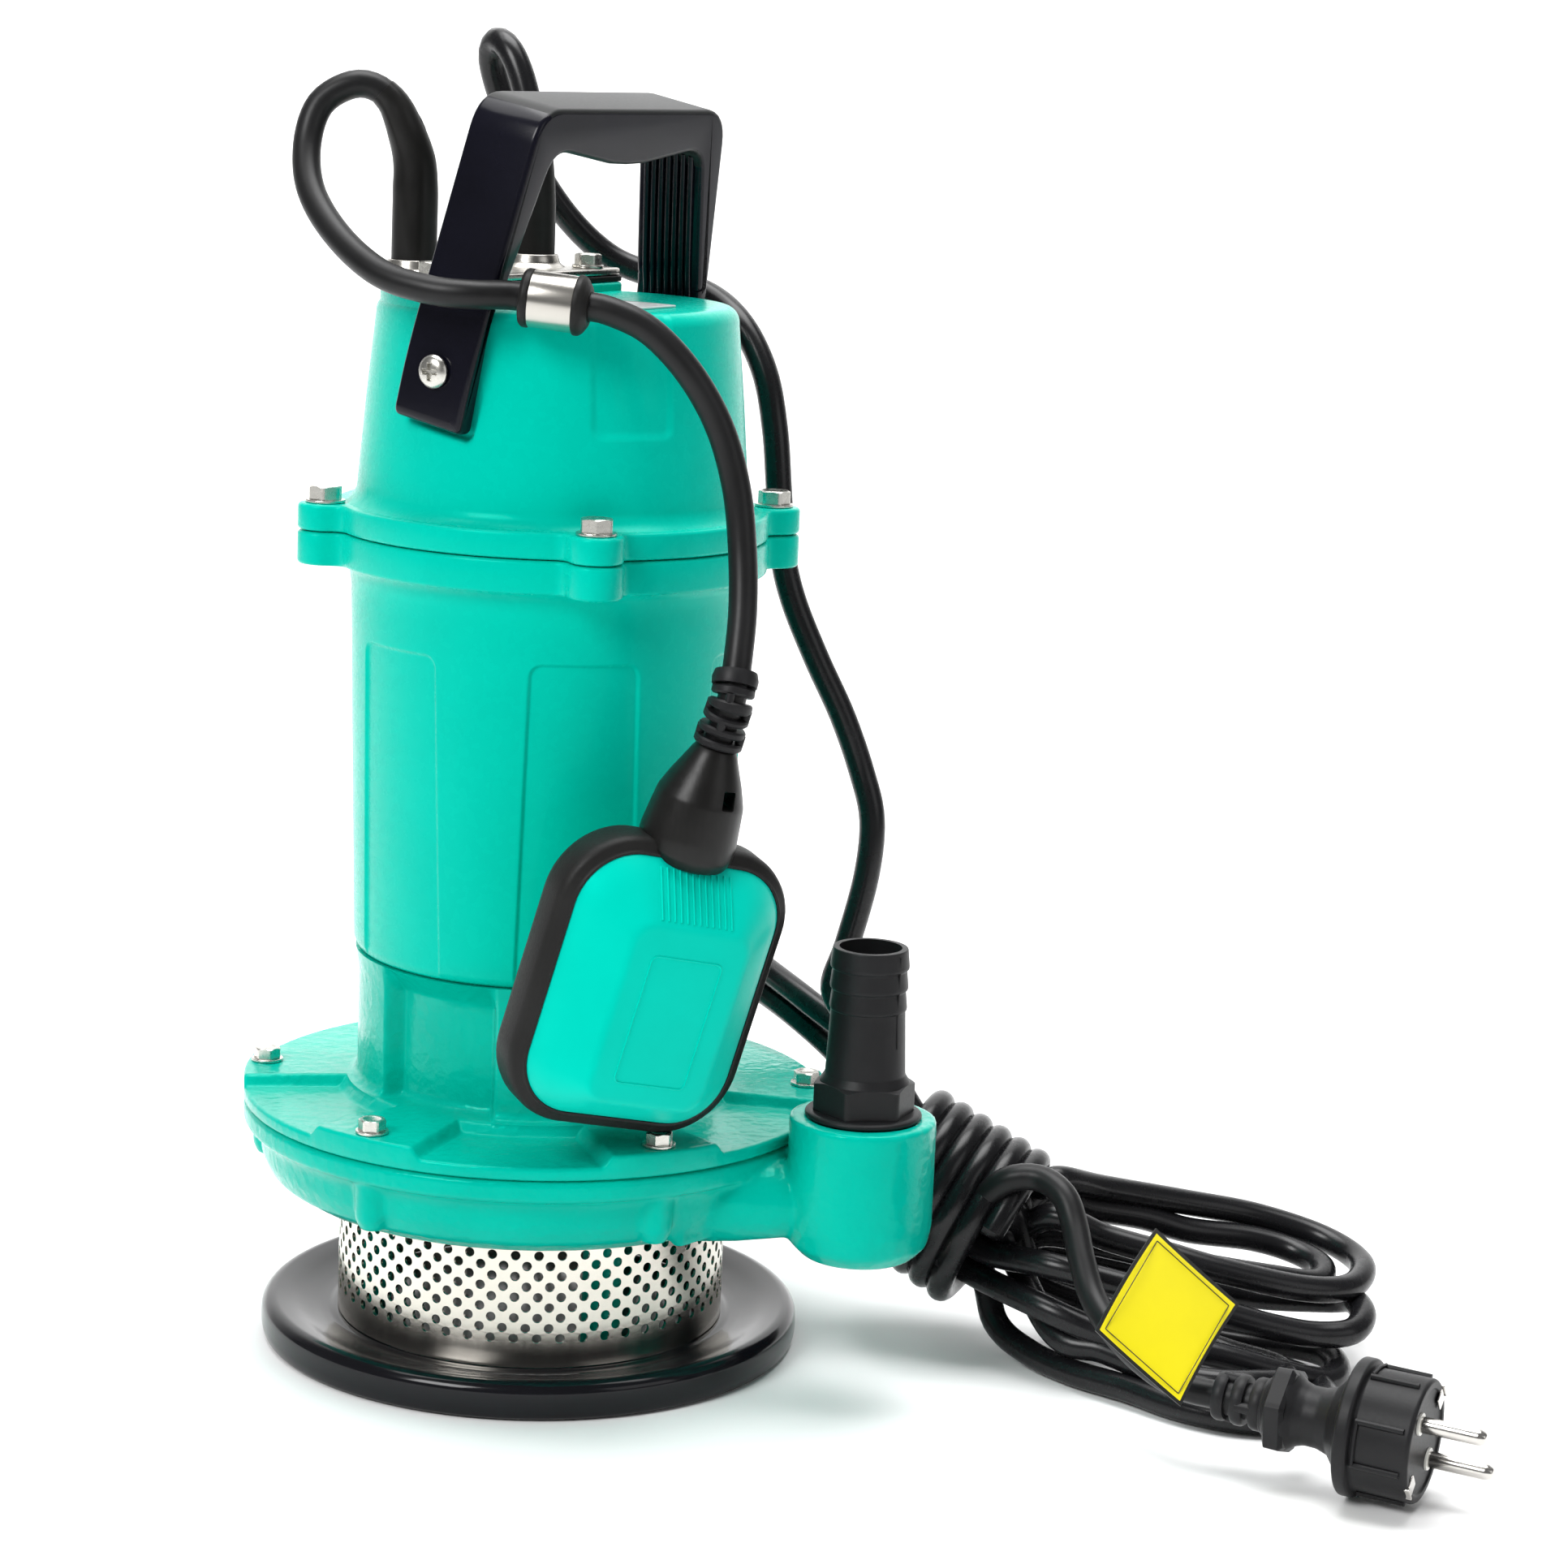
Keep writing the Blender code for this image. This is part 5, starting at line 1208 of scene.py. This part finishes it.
def power_cable():
    """The power cable: a loop over the cap, the drop, two ends, the coil and the plug's tail."""
    spot = middle("power_cable_sleeve")
    drop = curve_through([
        (spot[0], spot[1], 345.0), (spot[0], spot[1], 368.0), (-16, 46, 387), (-21, 50, 398),
        (-26, 56, 401), (-28, 61, 395), (-24, 65, 381), (-15, 68.5, 363), (-3, 72, 346),
        (11, 74.5, 334), (27, 73, 328.5), (43, 66, 324), (54, 54, 316), (62, 46, 302),
        (66, 40, 285), (68, 37, 267), (70, 36, 247), (74, 35, 232), (82, 34, 214), (91, 34, 196),
        (98, 34, 178), (102, 32, 163), (101, 30, 145), (96, 29, 123), (92, 30, 108), (98, 31, 97),
        (108, 27, 86), (120, 18, 70), (132, 9, 54),
    ], 2.6)
    ends = [[(64, 74, 106), (84, 50, 98), (101, 37, 88), (114, 24, 74), (130, 10, 52)],
            [(60, 80, 99), (80, 58, 91), (97, 44, 80), (112, 30, 66), (128, 14, 46)]]
    ends = [swept(curve_through(points, 3.0), CABLE_RADIUS) for points in ends]
    piece("power_cable_run", swept(drop, CABLE_RADIUS), "gloss_cable", replaces=["power_cable"])
    piece("power_cable_ends", merged(*ends), "gloss_cable")
    for index, (points, (lane, nest)) in enumerate(zip(COIL_LOOPS, WRAP_LANES)):
        loop = swept(coil_loop(points, lane, nest), CABLE_RADIUS)
        piece(f"power_cable_loop_{index + 1}", loop, "gloss_cable")
    _, up, aside = wrap_axes()
    helix = []
    for step in range(241):
        share = step / 240
        angle = 2 * math.pi * (WRAP_TURNS * share - 0.55)
        rise = up * (WRAP_HALF_HEIGHT + 2.2 * share) * math.cos(angle)
        reach = rise + aside * WRAP_HALF_WIDTH * math.sin(angle)
        helix.append(WRAP_START + (WRAP_END - WRAP_START) * share + reach)
    piece("power_cable_wraps", swept(helix, CABLE_RADIUS), "gloss_cable")
    flange = np.array(PLUG_FLANGE_CENTRE)
    axis = unit(PLUG_AXIS)
    tail = curve_through([(140, -14, 52), (148, -18, 61), (158, -20, 63), (165.5, -27, 60),
                          (169, -34, 52.6), (171, -42, 45), (174.5, -52, 36), (180.3, -64, 29.8),
                          (189.3, -78, 25), flange - axis * 54, flange - axis * 38], 2.6)
    piece("power_cable_tail", swept(tail, CABLE_RADIUS), "cable")


def plug():
    """The round two-pin plug with its flange, grips, earth clips and slotted bend relief."""
    place = frame_at(PLUG_FLANGE_CENTRE, PLUG_AXIS)
    roll = place @ rotation(PLUG_ROLL)
    body = turned([
        (0.0, 19.2), (15.2, 19.2), (15.6, 19.9), (17.6, 19.9), (18.2, 19.0), (18.0, 2.8), (20.2, 2.0),
        (20.2, -1.8), (15.0, -3.4), (10.2, -7.2), (8.9, -11.0), (8.8, -15.0), (9.6, -17.6),
        (11.2, -19.6), (11.8, -20.4), (11.8, -25.0), (10.4, -26.4), (8.6, -27.0), (8.2, -28.4),
        (0.0, -28.4),
    ], 96, 0.8)
    forms = [body]
    for side in (45.0, 135.0, 225.0, 315.0):
        for offset in (-6.4, 6.4):
            rail = [(17.25, offset, 3.4), (17.25, offset, 17.6)]
            forms.append(moved(swept(rail, 0.9, 12), rotation(side)))
        rail = [(17.9, -6.4, 3.9), (18.6, 0.0, 3.9), (17.9, 6.4, 3.9)]
        forms.append(moved(swept(rail, 0.5, 10), rotation(side)))
    facets = ((0.85, -25.9), (0.99, -25.0), (1.0, -20.6), (0.9, -19.4))
    forms.append(lofted([level(hexagon(11.9, 96, 0.8) * share, height) for share, height in facets]))
    relief_path = np.array([(0.0, 0.0, -28.0 - step) for step in range(17)])
    relief = slotted_sleeve(relief_path, lambda t: 7.9 - 0.9 * t, 3.6, 2.2, 1.6)
    core = swept([(0.0, 0.0, -28.0), (0.0, 0.0, -42.0)], 5.4, 24)
    moulding = merged(moved(merged(*forms), roll), moved(merged(relief, core), place))
    piece("plug_moulding", moulding, "matte_black", replaces=["plug_body"], crease=30)

    pin = turned([(0.0, 39.0), (1.5, 38.6), (2.4, 36.8), (2.4, 19.0), (0.0, 19.0)], 40, 0.5)
    collar = turned([(2.4, 19.9), (3.3, 19.8), (3.4, 19.0), (2.4, 19.0)], 40)
    clip = slab(rounded_rectangle(2.6, 2.2, 0.6, 4), 19.6, 20.2, 0.2)
    hook = slab(rounded_rectangle(2.6, 0.4, 0.3, 4), 15.0, 20.6, 0.2)
    for number, side in ((1, -1), (2, 1)):
        at_pin = roll @ Matrix.Translation((side * PIN_OFFSET, 0.0, 0.0))
        at_clip = roll @ Matrix.Translation((0.0, side * CLIP_OFFSET, 0.0))
        at_hook = roll @ Matrix.Translation((0.0, side * HOOK_OFFSET, 0.0))
        piece(f"plug_pin_{number}_body", moved(pin, at_pin), "nickel",
              replaces=[f"plug_pin_{number}"])
        piece(f"plug_pin_{number}_collar", moved(collar, at_pin), "ceramic")
        piece(f"plug_earth_clip_{number}", merged(moved(clip, at_clip), moved(hook, at_hook)),
              "nickel")


def tag_frame():
    """The tag's frame: Z out of its face, X along the edge that runs up to its top corner."""
    face = Vector(TAG_FACE).normalized()
    edge = Vector(TAG_EDGE)
    edge = (edge - face * edge.dot(face)).normalized()
    return axes_at(TAG_CENTRE, edge, face.cross(edge), face)


def cable_tag():
    """The blank yellow tag with its black border, bowed a little both ways."""
    place = tag_frame()

    def bowed(x, y, rise):
        return np.array((x, y, rise + 0.004 * x * x + 0.002 * y * y))

    def sheet(half, rise, thickness):
        columns = np.linspace(-half, half, 25)
        rings = []
        for y in np.linspace(-half, half, 9):
            top = np.array([bowed(x, y, rise) for x in columns])
            rings.append(np.concatenate([top, top[::-1] - (0.0, 0.0, thickness)]))
        return lofted(rings)

    piece("cable_tag_sheet", moved(sheet(TAG_HALF, 0.0, 0.5), place), "tag_border",
          replaces=["cable_tag"])
    piece("cable_tag_field", moved(sheet(TAG_FIELD_HALF, 0.12, 0.3), place), "yellow")
    line = rounded_rectangle(TAG_LINE_HALF, TAG_LINE_HALF, 0.2, 3)
    loop = np.array([bowed(x, y, 0.16) for x, y in line])
    piece("cable_tag_line", moved(swept(closed(loop), 0.16, 6), place), "tag_border")


def rating_plate():
    """The blank foil plate on the cap's top, with a pressed border."""
    place = over(middle("rating_plate")) @ rotation(HANDLE_AZIMUTH)
    base = slab(rounded_rectangle(16.0, 18.75, 1.2, 5), CAP_TOP + 0.05, CAP_TOP + 0.7, 0.2)
    line = rounded_rectangle(14.6, 17.2, 0.8, 4)
    border = swept(closed(level(line, CAP_TOP + 0.68)), 0.22, 6)
    piece("rating_plate_foil", moved(merged(base, border), place), "plate",
          replaces=["rating_plate"])


# ---------------------------------------------------------------- carried-over solids and stage

INSIDE = {
    "steel": ["rotor_shaft", "impeller_nut", "switch_ball", "lower_bearing", "upper_bearing",
              "bearing_bracket"],
    "lamination": ["rotor_core", "stator_core"],
    "copper": ["stator_winding_lower", "stator_winding_upper"],
    "ceramic": ["shaft_seal_seat"],
    "stainless": ["shaft_seal_head"],
    "zinc": ["ferrule_strap"],
    "rubber": ["casing_seal_ring", "cap_seal_ring"],
    "matte_black": ["impeller", "float_microswitch", "float_ball_cage", "start_capacitor"],
}


def inside_solids():
    """The solids that keep their own shape get their finish."""
    for finish, nodes in INSIDE.items():
        for node in nodes:
            mesh = frame["nodes"][node].data
            mesh.materials.clear()
            mesh.materials.append(LOOKS[finish])


def stage():
    """A pale floor that sweeps up behind the pump, a soft surround and four soft lights."""
    sweep = [(FLOOR_FRONT, FLOOR_HEIGHT), (SWEEP_START, FLOOR_HEIGHT)]
    for step in range(1, 13):
        turn = math.pi / 2 * step / 12
        sweep.append((SWEEP_START + SWEEP_RADIUS * math.sin(turn),
                      SWEEP_RADIUS - SWEEP_RADIUS * math.cos(turn)))
    sweep.append((SWEEP_START + SWEEP_RADIUS, WALL_TOP))
    points = [(x, y, z) for y, z in sweep for x in (-FLOOR_HALF_WIDTH, FLOOR_HALF_WIDTH)]
    faces = [(2 * row, 2 * row + 1, 2 * row + 3, 2 * row + 2) for row in range(len(sweep) - 1)]
    mesh = bpy.data.meshes.new("floor")
    mesh.from_pydata(points, [], faces)
    mesh.shade_smooth()
    mesh.materials.append(look("pale_floor", (0.93, 0.93, 0.93), 0.8, 0.004, specular=0.1))
    floor = linked("floor", mesh)
    world = bpy.data.worlds.new("surround")
    world.use_nodes = True
    set_inputs(world.node_tree.nodes["Background"], Color=(1.0, 1.0, 1.0, 1.0), Strength=0.18)
    bpy.context.scene.world = world
    lights = (("key", (-1.2, -1.6, 1.7), PUMP_MIDDLE, 1.0, 44.0),
              ("fill", (1.8, -1.3, 1.0), PUMP_MIDDLE, 1.2, 5.0),
              ("top", (0.1, 0.2, 2.2), PUMP_MIDDLE, 1.2, 22.0),
              ("backdrop", (0.0, 0.7, 2.6), (0.0, 2.1, 0.7), 2.5, 80.0))
    for name, spot, target, size, power in lights:
        data = bpy.data.lights.new(name, "AREA")
        data.size = size
        data.energy = power
        lamp = linked(name, data)
        lamp.location = spot
        lamp.rotation_euler = (Vector(target) - Vector(spot)).to_track_quat("-Z", "Y").to_euler()


def camera():
    """A camera in front, level with the cable's loops, tipped down and rolled slightly."""
    heading = math.radians(CAMERA_HEADING)
    pitch = math.radians(CAMERA_PITCH)
    roll = math.radians(CAMERA_ROLL)
    ahead = Vector((math.sin(heading) * math.cos(pitch), math.cos(heading) * math.cos(pitch),
                    -math.sin(pitch)))
    side = Vector((math.cos(heading), -math.sin(heading), 0.0))
    up = side.cross(ahead)
    right = side * math.cos(roll) + up * math.sin(roll)
    above = up * math.cos(roll) - side * math.sin(roll)
    data = bpy.data.cameras.new("camera")
    data.lens = CAMERA_LENS
    data.sensor_width = 36.0
    made = linked("camera", data)
    made.matrix_world = axes_at(CAMERA_PLACE, right, above, -ahead)
    bpy.context.scene.camera = made


base_plate()
strainer_screen()
volute_casing()
pump_cover()
motor_housing()
top_cap()
fasteners()
carry_handle()
handle_screws()
cable_entry()
ferrule()
float_cable_upper()
float_shell("front", 0.0)
float_shell("back", 180.0)
float_band()
float_boot()
float_cable_lower()
hose_connector()
power_cable()
plug()
cable_tag()
rating_plate()
inside_solids()
stage()
camera()
bpy.context.scene.view_settings.view_transform = "Standard"
